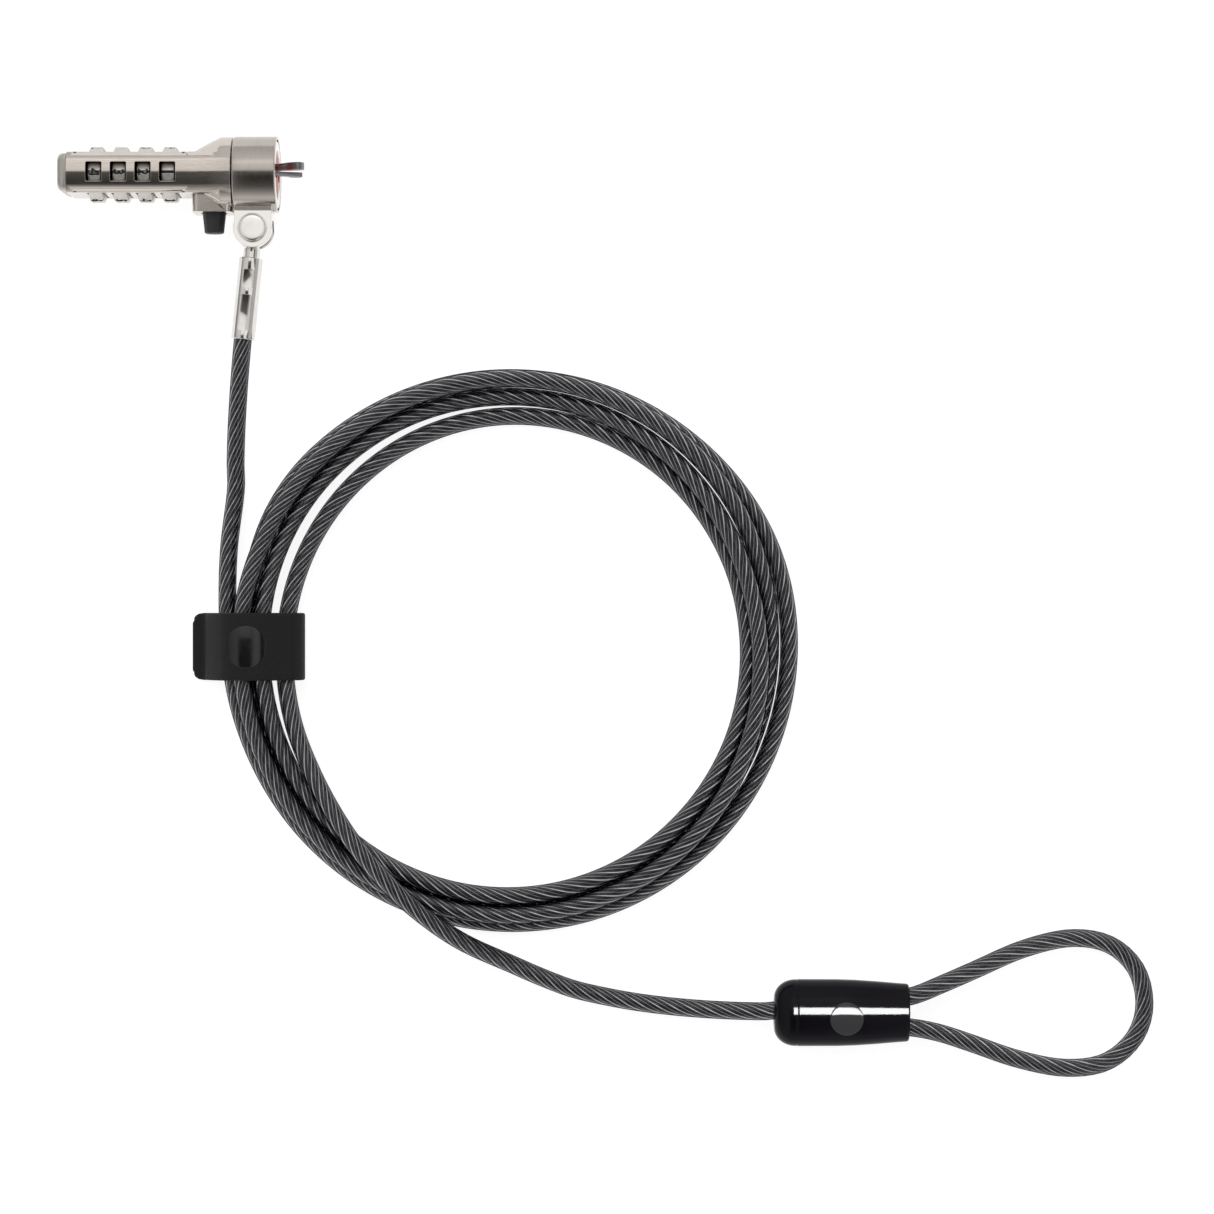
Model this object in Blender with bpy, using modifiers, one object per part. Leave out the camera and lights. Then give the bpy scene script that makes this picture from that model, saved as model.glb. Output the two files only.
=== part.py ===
"""Laptop cable lock: a four-dial lock head on a swivelling pivot, a coiled and sleeved
steel cable with a loop at its far end, and a hook-and-loop strap around the coil.

Metres, +Z up. Pieces are dimensioned from the centre of the nose face, with the lock
axis along X. At the end the whole lock is set down with its origin at the centre of its
bounding box, on the table.
"""
import math

import bmesh
import bpy
import numpy as np
from mathutils import Matrix, Vector

MM = 0.001

# ---- driving dimensions, in millimetres -------------------------------------------
TABLE_Z = -8.5            # underside of the swivel collar
ORIGIN = (73.345, -95.947, TABLE_Z)   # centre of the bounding box, on the table

COLLAR_R = 8.5            # swivel collar on the front of the body
COLLAR_X = (-9.5, 0.0)
COLLAR_BORE_R = 6.25
COLLAR_RIM_R = 7.85       # counterbore that leaves the thin front rim
RIM_DEPTH = 2.3
PIVOT = (-5.3, -12.1)     # lug pivot, seen from above
EAR_R = 4.25
EAR_HALF_Z = 4.2
EYE_SLOT_HALF_Z = 1.95
EYE_SLOT_R = 4.15
EYE_R = 3.85
EYE_HALF_Z = 1.7

CAGE_X = (-46.0, -19.0)   # dial cage
CAGE_HALF_Y = 4.5
CAGE_HALF_Z = 7.4
CAGE_CHAMFER = 1.4
NECK_R = 8.4
NECK_X = (-12.4, -9.8)
FLARE_X = -20.2
SPIGOT_R = 6.0
SPIGOT_END_X = -2.05
BOSS_X = (-18.6, -9.9)
BOSS_BOTTOM_Y = -8.5
BOSS_HALF_Z = 4.4

DIAL_X = (-39.9, -34.5, -29.1, -23.7)
DIAL_R = 6.2
DIAL_HALF_W = 1.75
DIAL_FACETS = 10
DIAL_BORE_R = 3.32
DIAL_SLOT_R = 6.45
DIAL_SLOT_HALF_W = 1.9
WINDOW = (3.4, 4.0)       # along X, along Y
TUMBLER_R = 3.1
TUMBLER_HALF_W = 1.65
TUMBLER_BORE_R = 1.95
KEY_R = 3.6

SPINDLE_R = 1.55
SPINDLE_X = (-44.6, -14.7)
FIN_W = 0.9
FIN_R = 2.9
CORE_BORE_R = 3.25

BUTTON_X = -14.1
BUTTON_Y = (-13.0, -8.3)  # tip and shoulder
BUTTON_R = (2.15, 2.6)    # tip and shoulder
BUTTON_STROKE = 2.0

HOOK_PIN_X = -4.6
HOOK_SPREAD = 11.0        # degrees, each way at rest
HOOK_REACH = 10.75        # from the hook pin to the tip
HOOK_THICK = 0.85
HOOK_Y = 0.85             # middle of the blade pair, off the lock's axis

CABLE_R = 2.0
JACKET_WALL = 0.42
ROPE_R = 1.45
LINK_TILT = 5.9           # degrees, ferrule away from straight down the drawing
FERRULE = (6.3, 24.5)     # from the pivot
NECK_LINK_R = 1.65
FERRULE_R = 2.65

COIL_CENTRE = (51.9, -105.5)
COIL_STEP = 10            # degrees between rings of the cable
STRAND_GAP = 4.22         # least distance between two cable centres
FLOOR_H = 2.06            # centre height of a cable that lies on the table

SLEEVE_X = (110.0, 140.0)
SLEEVE_Y = -185.9
SLEEVE_H = 5.6
LEG_Y = (-182.75, -189.05)

STRAP_Y = (-112.0, -97.0)
STRAP_T = 1.1


# ---- scene helpers ----------------------------------------------------------------
def clear_scene():
    """Remove whatever the file holds."""
    for old in list(bpy.data.objects):
        bpy.data.objects.remove(old, do_unlink=True)


def collection(name):
    """A collection linked to the scene."""
    made = bpy.data.collections.new(name)
    bpy.context.scene.collection.children.link(made)
    return made


def material(name, colour, roughness, metallic=0.0):
    """A plain Principled material."""
    mat = bpy.data.materials.new(name)
    mat.use_nodes = True
    shader = mat.node_tree.nodes["Principled BSDF"]
    shader.inputs["Base Color"].default_value = (*colour, 1.0)
    shader.inputs["Roughness"].default_value = roughness
    shader.inputs["Metallic"].default_value = metallic
    return mat


def smooth(mesh, degrees=32.0):
    """Smooth shading with sharp creases kept."""
    mesh.shade_smooth()
    mesh.set_sharp_from_angle(angle=math.radians(degrees))


def part(name, mesh, mat, origin=(0.0, 0.0, 0.0)):
    """A named sub-part whose origin is moved to a point in millimetres."""
    shift = Vector(origin) * MM
    mesh.transform(Matrix.Translation(-shift))
    mesh.materials.append(mat)
    smooth(mesh)
    obj = bpy.data.objects.new(name, mesh)
    obj.location = shift
    PARTS.objects.link(obj)
    return obj


def tool(name, mesh):
    """A cutter or a joining solid that is not a part."""
    obj = bpy.data.objects.new(name, mesh)
    obj.hide_render = True
    obj.display_type = "WIRE"
    TOOLS.objects.link(obj)
    return obj


def combine(obj, other, operation="DIFFERENCE"):
    """Boolean modifier with the exact solver."""
    mod = obj.modifiers.new(other.name, "BOOLEAN")
    mod.operation = operation
    mod.solver = "EXACT"
    mod.object = other
    return mod


def bevel(obj, width, segments=1, angle=30.0):
    """Bevel modifier on the edges sharper than an angle."""
    mod = obj.modifiers.new("edge", "BEVEL")
    mod.width = width * MM
    mod.segments = segments
    mod.limit_method = "ANGLE"
    mod.angle_limit = math.radians(angle)
    return mod


def mesh_from(name, bm):
    """Turn a bmesh into a mesh."""
    bmesh.ops.recalc_face_normals(bm, faces=bm.faces)
    mesh = bpy.data.meshes.new(name)
    bm.to_mesh(mesh)
    bm.free()
    return mesh


def box(name, low, high, chamfer=0.0, along=None, segments=1):
    """A box between two corners in millimetres, edges along one axis bevelled."""
    low = Vector(low) * MM
    high = Vector(high) * MM
    size = high - low
    bm = bmesh.new()
    bmesh.ops.create_cube(bm, size=1.0)
    bmesh.ops.scale(bm, vec=size, verts=bm.verts)
    bmesh.ops.translate(bm, vec=(low + high) / 2, verts=bm.verts)
    if chamfer:
        edges = list(bm.edges)
        if along is not None:
            edges = [e for e in edges
                     if abs((e.verts[0].co - e.verts[1].co)[along]) > 0.9 * size[along]]
        bmesh.ops.bevel(bm, geom=edges, offset=chamfer * MM, segments=segments,
                        profile=0.5, affect="EDGES")
    return mesh_from(name, bm)


def rod(name, start, end, radius, end_radius=None, segments=32, turn=0.0):
    """A capped cylinder or cone between two points in millimetres."""
    start = Vector(start) * MM
    end = Vector(end) * MM
    far = radius if end_radius is None else end_radius
    axis = end - start
    bm = bmesh.new()
    bmesh.ops.create_cone(bm, cap_ends=True, segments=segments, radius1=radius * MM,
                          radius2=far * MM, depth=axis.length)
    rotate = axis.to_track_quat("Z", "Y").to_matrix().to_4x4()
    place = Matrix.Translation((start + end) / 2) @ rotate
    place = place @ Matrix.Rotation(turn, 4, "Z")
    bmesh.ops.transform(bm, matrix=place, verts=bm.verts)
    return mesh_from(name, bm)


def turned(name, profile, place, steps=32):
    """A turned solid: (radius, height) points run from the top down the outer side."""
    bm = bmesh.new()
    last = None
    for radius, height in profile:
        vert = bm.verts.new((radius * MM, 0.0, height * MM))
        if last is not None:
            bm.edges.new((last, vert))
        last = vert
    mesh = bpy.data.meshes.new(name)
    bm.to_mesh(mesh)
    bm.free()
    obj = bpy.data.objects.new(name, mesh)
    TOOLS.objects.link(obj)
    mod = obj.modifiers.new("turn", "SCREW")
    mod.axis = "Z"
    mod.angle = math.tau
    mod.steps = steps
    mod.render_steps = steps
    mod.use_merge_vertices = True
    mod.merge_threshold = 0.00001
    return bake(obj, name, place)


def bake(obj, name, place=None):
    """The evaluated mesh of an object, welded, with the object removed."""
    bpy.context.view_layer.update()
    graph = bpy.context.evaluated_depsgraph_get()
    mesh = bpy.data.meshes.new_from_object(obj.evaluated_get(graph))
    mesh.name = name
    bm = bmesh.new()
    bm.from_mesh(mesh)
    bmesh.ops.remove_doubles(bm, verts=bm.verts, dist=0.000002)
    bmesh.ops.recalc_face_normals(bm, faces=bm.faces)
    bm.to_mesh(mesh)
    bm.free()
    mesh.transform(obj.matrix_world if place is None else place)
    bpy.data.objects.remove(obj, do_unlink=True)
    return mesh


def wire(name, points, radius, resolution=2, caps=True):
    """A round bar along a polyline given in millimetres."""
    curve = bpy.data.curves.new(name, "CURVE")
    curve.dimensions = "3D"
    curve.bevel_depth = radius * MM
    curve.bevel_resolution = resolution
    curve.use_fill_caps = caps
    line = curve.splines.new("POLY")
    line.points.add(len(points) - 1)
    for slot, point in zip(line.points, points):
        slot.co = (point[0] * MM, point[1] * MM, point[2] * MM, 1.0)
    obj = bpy.data.objects.new(name, curve)
    TOOLS.objects.link(obj)
    return bake(obj, name)


def plate(name, outline, low, high, plane):
    """A flat outline in millimetres, thick along the axis its plane leaves out."""
    curve = bpy.data.curves.new(name, "CURVE")
    curve.dimensions = "2D"
    curve.fill_mode = "BOTH"
    curve.extrude = (high - low) / 2 * MM
    line = curve.splines.new("POLY")
    line.points.add(len(outline) - 1)
    for slot, point in zip(line.points, outline):
        slot.co = (point[0] * MM, point[1] * MM, 0.0, 1.0)
    line.use_cyclic_u = True
    obj = bpy.data.objects.new(name, curve)
    TOOLS.objects.link(obj)
    middle = (low + high) / 2 * MM
    if plane == "XZ":
        place = Matrix.Translation((0.0, middle, 0.0)) @ Matrix.Rotation(math.pi / 2, 4, "X")
    else:
        place = Matrix.Translation((0.0, 0.0, middle))
    return bake(obj, name, place)


def strip(name, path, half_widths, middle_y, thickness, mat, origin):
    """A webbing strap: a folded sheet across Y with a Solidify thickness."""
    bm = bmesh.new()
    rows = []
    for (x, h), half in zip(path, half_widths):
        left = bm.verts.new((x * MM, (middle_y - half) * MM, (h + TABLE_Z) * MM))
        right = bm.verts.new((x * MM, (middle_y + half) * MM, (h + TABLE_Z) * MM))
        rows.append((left, right))
    for (a, b), (c, d) in zip(rows[:-1], rows[1:]):
        bm.faces.new((a, c, d, b))
    obj = part(name, mesh_from(name, bm), mat, origin)
    mod = obj.modifiers.new("webbing", "SOLIDIFY")
    mod.thickness = thickness * MM
    mod.offset = 0.0
    mod.use_even_offset = True
    return obj


# ---- cable path -------------------------------------------------------------------
def coil_stations():
    """Radius and height of every turn of the coil, settled so that no strand overlaps.

    The cable comes in from the lock head at 150 degrees, makes four turns, and leaves
    over the top of the others. Each pass is (angle, radius, height of its centre).
    """
    wound = (
        (150, 71.4, 3.0), (155, 68.0, 2.4), (164.4, 64.4, 2.3), (172, 62.9, 2.8),
        (180, 62.3, 3.35), (200, 61.5, 2.3), (225, 61.2, 2.05), (270, 60.5, 2.05),
        (360, 61.0, 2.05), (450, 60.6, 2.05), (485, 61.4, 2.05), (495, 62.4, 2.05),
        (505, 63.0, 2.05), (515, 62.0, 2.05), (527, 59.6, 2.6), (540, 58.2, 3.35),
        (585, 57.2, 2.05), (630, 56.4, 2.05), (720, 57.0, 2.05), (765, 60.3, 5.9),
        (810, 60.8, 6.2), (855, 60.6, 5.9), (900, 60.3, 6.9), (990, 58.6, 5.7),
        (1035, 58.0, 5.7), (1080, 55.0, 5.1), (1125, 55.6, 5.6), (1170, 56.8, 2.1),
        (1215, 57.8, 2.1), (1260, 56.1, 6.9), (1350, 54.7, 5.7), (1395, 54.0, 4.6),
        (1440, 52.3, 2.1), (1485, 53.0, 2.1), (1530, 52.8, 2.1), (1575, 51.5, 2.1),
        (1620, 50.15, 3.35), (1643, 51.06, 5.4), (1658, 52.3, 9.1), (1672, 54.6, 11.0),
        (1684, 57.7, 12.0), (1694, 62.0, 11.2), (1702.6, 66.4, 6.6), (1710, 70.0, 3.0),
    )
    table = np.array(wound, dtype=float)
    angle = np.arange(150.0, 1710.1, COIL_STEP)
    radius_goal = np.interp(angle, table[:, 0], table[:, 1])
    height_goal = np.interp(angle, table[:, 0], table[:, 2])
    radius = radius_goal.copy()
    height = height_goal.copy()
    lift = 1.35 * np.exp(-(((angle % 360) - 180) / 15.0) ** 4)
    turn = 360 // COIL_STEP
    near_strap = (angle < 225) | ((angle > 480) & (angle < 530)) | (angle > 1640)
    hold = np.where(near_strap, 0.15, 0.05)
    for step in range(700):
        ease, pull = (0.15, hold) if step < 400 else (0.02, hold * 0.12)
        for values, goal in ((radius, radius_goal), (height, height_goal)):
            bend = values[:-2] + values[2:] - 2 * values[1:-1]
            values[1:-1] += ease * bend
            values += pull * (goal - values)
        for apart in range(1, 5):
            span = apart * turn
            dr = radius[span:] - radius[:-span]
            dh = height[span:] - height[:-span]
            near = np.hypot(dr, dh)
            push = np.where(near < STRAND_GAP, (STRAND_GAP - near) / near, 0.0) * 0.3
            radius[span:] += push * dr
            radius[:-span] -= push * dr
            height[span:] += push * dh
            height[:-span] -= push * dh
        np.maximum(height, FLOOR_H + lift, out=height)
    return angle, radius, height


def rounded(points, cuts):
    """A Catmull-Rom line through bend points."""
    pts = [Vector(p) for p in points]
    pts = [2 * pts[0] - pts[1]] + pts + [2 * pts[-1] - pts[-2]]
    line = []
    for i in range(1, len(pts) - 2):
        p0, p1, p2, p3 = pts[i - 1:i + 3]
        for k in range(cuts):
            t = k / cuts
            line.append(0.5 * (2 * p1 + (p2 - p0) * t
                               + (2 * p0 - 5 * p1 + 4 * p2 - p3) * t * t
                               + (3 * p1 - p0 - 3 * p2 + p3) * t ** 3))
    line.append(pts[-2])
    return line


def link_point(distance, side=0.0, height=0.0):
    """A point on the ferrule's line, measured from the lug pivot."""
    tilt = math.radians(LINK_TILT)
    x = PIVOT[0] - distance * math.sin(tilt) + side * math.cos(tilt)
    y = PIVOT[1] - distance * math.cos(tilt) - side * math.sin(tilt)
    return (x, y, height)


def cable_path():
    """Centre line of the whole cable, from inside the ferrule to inside the crimp."""
    lead = [link_point(12.7), link_point(18.2), link_point(24.2)]
    lead += [(x, y, h + TABLE_Z) for x, y, h in (
        (-8.45, -43.2, 7.9), (-9.05, -49.8, 6.7), (-9.6, -57.0, 5.1),
        (-9.9, -64.0, 3.9))]
    angle, radius, height = coil_stations()
    coil = []
    for a, r, h in zip(angle, radius, height):
        x = COIL_CENTRE[0] + r * math.cos(math.radians(a))
        y = COIL_CENTRE[1] + r * math.sin(math.radians(a))
        coil.append((x, y, h + TABLE_Z))
    bends = [(x, y, h + TABLE_Z) for x, y, h in (
        (58.4, -178.4, 2.3), (65.3, -181.0, 2.1), (72.6, -182.7, 2.1),
        (80.0, -184.0, 2.2), (88.0, -184.9, 2.8), (96.0, -185.4, 4.0),
        (103.5, -185.6, 5.1), (109.5, -185.5, SLEEVE_H), (114.5, -184.2, SLEEVE_H),
        (119.0, LEG_Y[0], SLEEVE_H), (134.0, LEG_Y[0], SLEEVE_H),
        (140.5, -182.3, 5.5), (147.5, -179.6, 5.2), (154.5, -176.6, 4.9),
        (165.5, -171.9, 4.4), (176.2, -169.5, 3.9), (185.0, -171.0, 3.5),
        (191.0, -176.6, 3.2), (192.8, -184.7, 3.1), (190.4, -192.0, 3.2),
        (184.0, -197.2, 3.5), (175.0, -198.4, 3.9), (164.5, -196.4, 4.4),
        (154.3, -192.9, 4.9), (147.0, -190.5, 5.2), (140.3, -189.2, 5.5),
        (134.0, LEG_Y[1], SLEEVE_H), (120.5, LEG_Y[1], SLEEVE_H))]
    tail = rounded(bends, 2)
    return [Vector(p) for p in lead + coil] + tail


# ---- lock body --------------------------------------------------------------------
def make_body(mat):
    """Die-cast body: dial cage, flared neck, button boss and swivel spigot."""
    body = part("main_body", box("cage", (CAGE_X[0], -CAGE_HALF_Y, -CAGE_HALF_Z),
                                 (CAGE_X[1], CAGE_HALF_Y, CAGE_HALF_Z),
                                 CAGE_CHAMFER, along=0), mat)
    along_x = Matrix.Rotation(math.pi / 2, 4, "Y")
    neck = turned("neck", ((0.0, SPIGOT_END_X), (SPIGOT_R - 0.4, SPIGOT_END_X),
                           (SPIGOT_R, SPIGOT_END_X - 0.4), (SPIGOT_R, NECK_X[1]),
                           (NECK_R - 0.3, NECK_X[1]), (NECK_R, NECK_X[1] - 0.3),
                           (NECK_R, NECK_X[0]), (4.0, FLARE_X - 0.6),
                           (0.0, FLARE_X - 0.6)), along_x, steps=40)
    combine(body, tool("neck", neck), "UNION")
    boss = box("boss", (BOSS_X[0], BOSS_BOTTOM_Y, -BOSS_HALF_Z),
               (BOSS_X[1], -1.0, BOSS_HALF_Z), 1.0, along=1, segments=2)
    combine(body, tool("boss", boss), "UNION")
    core = rod("core_bore", (-47.0, 0, 0), (-19.3, 0, 0), CORE_BORE_R, segments=24)
    combine(body, tool("core_bore", core))
    guide = rod("spindle_bore", (-20.0, 0, 0), (-14.3, 0, 0), SPINDLE_R + 0.3, segments=20)
    combine(body, tool("spindle_bore", guide))
    for i, x in enumerate(DIAL_X):
        slot = rod(f"dial_slot_{i}", (x - DIAL_SLOT_HALF_W, 0, 0),
                   (x + DIAL_SLOT_HALF_W, 0, 0), DIAL_SLOT_R, segments=36)
        combine(body, tool(f"dial_slot_{i}", slot))
        window = box(f"window_{i}", (x - WINDOW[0] / 2, -WINDOW[1] / 2, 4.0),
                     (x + WINDOW[0] / 2, WINDOW[1] / 2, 8.0))
        combine(body, tool(f"window_{i}", window))
    channel = box("detent_channel", (-44.4, -1.25, -6.95), (-20.4, 1.25, -5.9))
    combine(body, tool("detent_channel", channel))
    mouth = rod("button_mouth", (BUTTON_X, -9.5, 0), (BUTTON_X, -5.95, 0), 2.9, segments=28)
    combine(body, tool("button_mouth", mouth))
    well = box("button_well", (-16.35, -6.2, -1.9), (-11.9, 0.5, 1.9))
    combine(body, tool("button_well", well))
    pocket = rod("spring_pocket", (-13.3, -0.5, 0), (-13.3, 3.6, 0), 1.35, segments=16)
    combine(body, tool("spring_pocket", pocket))
    throat = box("hook_throat", (-9.9, -0.6, -3.4), (-1.0, 2.25, 3.4))
    combine(body, tool("hook_throat", throat))
    through = rod("pin_seat", (HOOK_PIN_X, -2.7, 0), (HOOK_PIN_X, 2.7, 0), 0.8, segments=16)
    combine(body, tool("pin_seat", through))
    cross = rod("cap_pin_seat", (-45.2, -9.0, 4.9), (-45.2, 9.0, 4.9), 0.7, segments=14)
    combine(body, tool("cap_pin_seat", cross))
    return body


def make_end_cap(mat, pin_mat, screw_mat):
    """Rounded rear cap with its cross pin and the slotted reset screw."""
    cap = part("end_cap", box("end_cap", (-48.1, -4.2, -7.25), (-46.05, 4.2, 7.25),
                              1.15, along=0, segments=2), mat)
    bevel(cap, 0.45, 2, 40)
    seat = rod("reset_seat", (-49.0, 0, 0), (-47.0, 0, 0), 2.45, segments=24)
    combine(cap, tool("reset_seat", seat))
    hole = rod("reset_hole", (-48.0, 0, 0), (-45.0, 0, 0), 1.35, segments=20)
    combine(cap, tool("reset_hole", hole))
    screw = turned("reset_screw", ((0.0, 1.15), (1.9, 1.15), (2.2, 0.85), (2.2, 0.3),
                                   (1.15, 0.3), (1.15, -1.25), (0.0, -1.25)),
                   Matrix.Translation((-46.85 * MM, 0, 0))
                   @ Matrix.Rotation(-math.pi / 2, 4, "Y"), steps=24)
    screw = part("reset_screw", screw, screw_mat, (-46.85, 0, 0))
    slot = box("reset_slot", (-48.5, -0.3, -2.4), (-47.45, 0.3, 2.4))
    combine(screw, tool("reset_slot", slot))
    pin = rod("end_cap_pin", (-45.2, -4.15, 4.9), (-45.2, 4.15, 4.9), 0.6, segments=14)
    part("end_cap_pin", pin, pin_mat)


def make_dials(wheel_mat, tumbler_mat):
    """Four facetted dial wheels, each with its notched tumbler inside."""
    for i, x in enumerate(DIAL_X):
        centre = (x, 0.0, 0.0)
        wheel = rod("dial_wheel", (x - DIAL_HALF_W, 0, 0), (x + DIAL_HALF_W, 0, 0),
                    DIAL_R, segments=DIAL_FACETS, turn=math.radians(18.0))
        wheel = part(f"dial_wheel_{i + 1}", wheel, wheel_mat, centre)
        bevel(wheel, 0.38, 1, 25)
        bore = rod(f"wheel_bore_{i}", (x - 3, 0, 0), (x + 3, 0, 0), DIAL_BORE_R, segments=24)
        combine(wheel, tool(f"wheel_bore_{i}", bore))
        groove = box(f"wheel_groove_{i}", (x - 3, -0.75, -KEY_R - 0.25),
                     (x + 3, 0.75, -1.0))
        combine(wheel, tool(f"wheel_groove_{i}", groove))
        for k in range(DIAL_FACETS):
            turn = math.radians(18.0 + 36.0 * k)
            out = (math.cos(turn) * DIAL_R, math.sin(turn) * DIAL_R)
            notch = rod(f"wheel_notch_{i}_{k}", (x - 3, out[0], out[1]),
                        (x + 3, out[0], out[1]), 0.42, segments=8)
            combine(wheel, tool(f"wheel_notch_{i}_{k}", notch))
        ring = rod("tumbler", (x - TUMBLER_HALF_W, 0, 0), (x + TUMBLER_HALF_W, 0, 0),
                   TUMBLER_R, segments=24)
        ring = part(f"tumbler_{i + 1}", ring, tumbler_mat, centre)
        key = box(f"tumbler_key_{i}", (x - 1.4, -0.5, -KEY_R), (x + 1.4, 0.5, -2.6))
        combine(ring, tool(f"tumbler_key_{i}", key), "UNION")
        hole = rod(f"tumbler_hole_{i}", (x - 3, 0, 0), (x + 3, 0, 0), TUMBLER_BORE_R,
                   segments=24)
        combine(ring, tool(f"tumbler_hole_{i}", hole))
        gate = box(f"tumbler_gate_{i}", (x - 3, -0.85, 1.0), (x + 3, 0.85, 4.0))
        combine(ring, tool(f"tumbler_gate_{i}", gate))


def make_core(spindle_mat, spring_mat):
    """Code spindle with one fin behind each tumbler, its spring and the detent leaf."""
    spindle = turned("code_spindle", ((0.0, SPINDLE_X[1]), (SPINDLE_R - 0.2, SPINDLE_X[1]),
                                      (SPINDLE_R, SPINDLE_X[1] - 0.2),
                                      (SPINDLE_R, -42.2), (2.7, -42.2), (2.7, -42.9),
                                      (1.2, -42.9), (1.2, SPINDLE_X[0]),
                                      (0.0, SPINDLE_X[0])),
                     Matrix.Rotation(math.pi / 2, 4, "Y"), steps=20)
    spindle = part("code_spindle", spindle, spindle_mat)
    for i, x in enumerate(DIAL_X):
        middle = x + 3.2
        fin = box(f"fin_{i}", (middle - FIN_W / 2, -0.6, 0.5), (middle + FIN_W / 2, 0.6, FIN_R))
        combine(spindle, tool(f"fin_{i}", fin), "UNION")
    coil = helix((-45.75, 0, 0), (-43.3, 0, 0), 2.2, 3.0, 10)
    part("spindle_spring", wire("spindle_spring", coil, 0.26, 0), spring_mat)
    leaf = box("detent_spring", (-44.0, -1.0, -6.85), (-20.8, 1.0, -6.6))
    part("detent_spring", leaf, spring_mat)


def helix(start, end, radius, turns, per_turn):
    """Points of a coil spring between two points."""
    start = Vector(start)
    end = Vector(end)
    axis = (end - start).normalized()
    side = axis.orthogonal().normalized()
    other = axis.cross(side)
    count = int(turns * per_turn)
    points = []
    for k in range(count + 1):
        turn = math.tau * k / per_turn
        around = side * math.cos(turn) + other * math.sin(turn)
        points.append(start.lerp(end, k / count) + around * radius)
    return points


def make_button(mat, spring_mat):
    """Release button: a tapered cap, and a stem whose ramp draws the spindle back."""
    tip, shoulder = BUTTON_Y
    down = Matrix.Translation((BUTTON_X * MM, 0, 0)) @ Matrix.Rotation(-math.pi / 2, 4, "X")
    cap = turned("button", ((0.0, shoulder), (BUTTON_R[1], shoulder),
                            (BUTTON_R[0], tip + 0.5), (BUTTON_R[0] - 0.5, tip), (0.0, tip)),
                 down, steps=28)
    button = part("button", cap, mat, (BUTTON_X, shoulder, 0))
    stem = plate("stem", ((-15.95, -9.0), (-12.25, -9.0), (-12.25, -2.25), (-14.85, -2.25),
                          (-15.95, -4.45)), -1.6, 1.6, "XY")
    combine(button, tool("stem", stem), "UNION")
    coil = helix((-13.3, -2.0, 0), (-13.3, 3.3, 0), 0.85, 5.0, 8)
    part("button_spring", wire("button_spring", coil, 0.2, 0), spring_mat)


def make_hooks(mat, pin_mat):
    """Two scissor blades that share one pin; their barbs stand out sideways."""
    outline = ((-4.3, -0.75), (-3.9, 0.75), (0.0, 1.05), (3.2, 0.95), (7.2, 0.75),
               (8.4, 0.95), (9.3, 1.6), (9.9, 1.6), (10.55, 0.9), (HOOK_REACH, 0.2),
               (10.5, -0.55), (7.2, -0.75), (3.2, -0.95), (0.0, -1.05))
    for name, sign in (("hook_blade_upper", 1.0), ("hook_blade_lower", -1.0)):
        spread = math.radians(HOOK_SPREAD) * sign
        turnedline = []
        for x, z in outline:
            z = z * sign
            turnedline.append((HOOK_PIN_X + x * math.cos(spread) - z * math.sin(spread),
                               x * math.sin(spread) + z * math.cos(spread)))
        start = HOOK_Y + (0.06 if sign > 0 else -0.06 - HOOK_THICK)
        blade = plate(name, turnedline, start, start + HOOK_THICK, "XZ")
        blade = part(name, blade, mat, (HOOK_PIN_X, 0, 0))
        hole = rod(name + "_eye", (HOOK_PIN_X, -2, 0), (HOOK_PIN_X, 2, 0), 0.72, segments=14)
        combine(blade, tool(name + "_eye", hole))
    pin = rod("hook_pin", (HOOK_PIN_X, -2.6, 0), (HOOK_PIN_X, 2.6, 0), 0.6, segments=14)
    part("hook_pin", pin, pin_mat)


def make_nose(flange_mat, disc_mat):
    """Bright nose flange that keeps the collar on, and the soft disc inside it."""
    flange = turned("nose_flange", ((5.45, 0.0), (7.1, 0.0), (7.5, -0.4), (7.5, -1.95),
                                    (5.45, -1.95), (5.45, 0.0)),
                    Matrix.Rotation(math.pi / 2, 4, "Y"), steps=40)
    part("nose_flange", flange, flange_mat)
    disc = rod("nose_disc", (-1.95, 0, 0), (-0.4, 0, 0), 5.3, segments=32)
    disc = part("nose_disc", disc, disc_mat)
    slot = box("nose_slot", (-3.0, -0.4, -2.7), (1.0, 2.1, 2.7))
    combine(disc, tool("nose_slot", slot))


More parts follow.
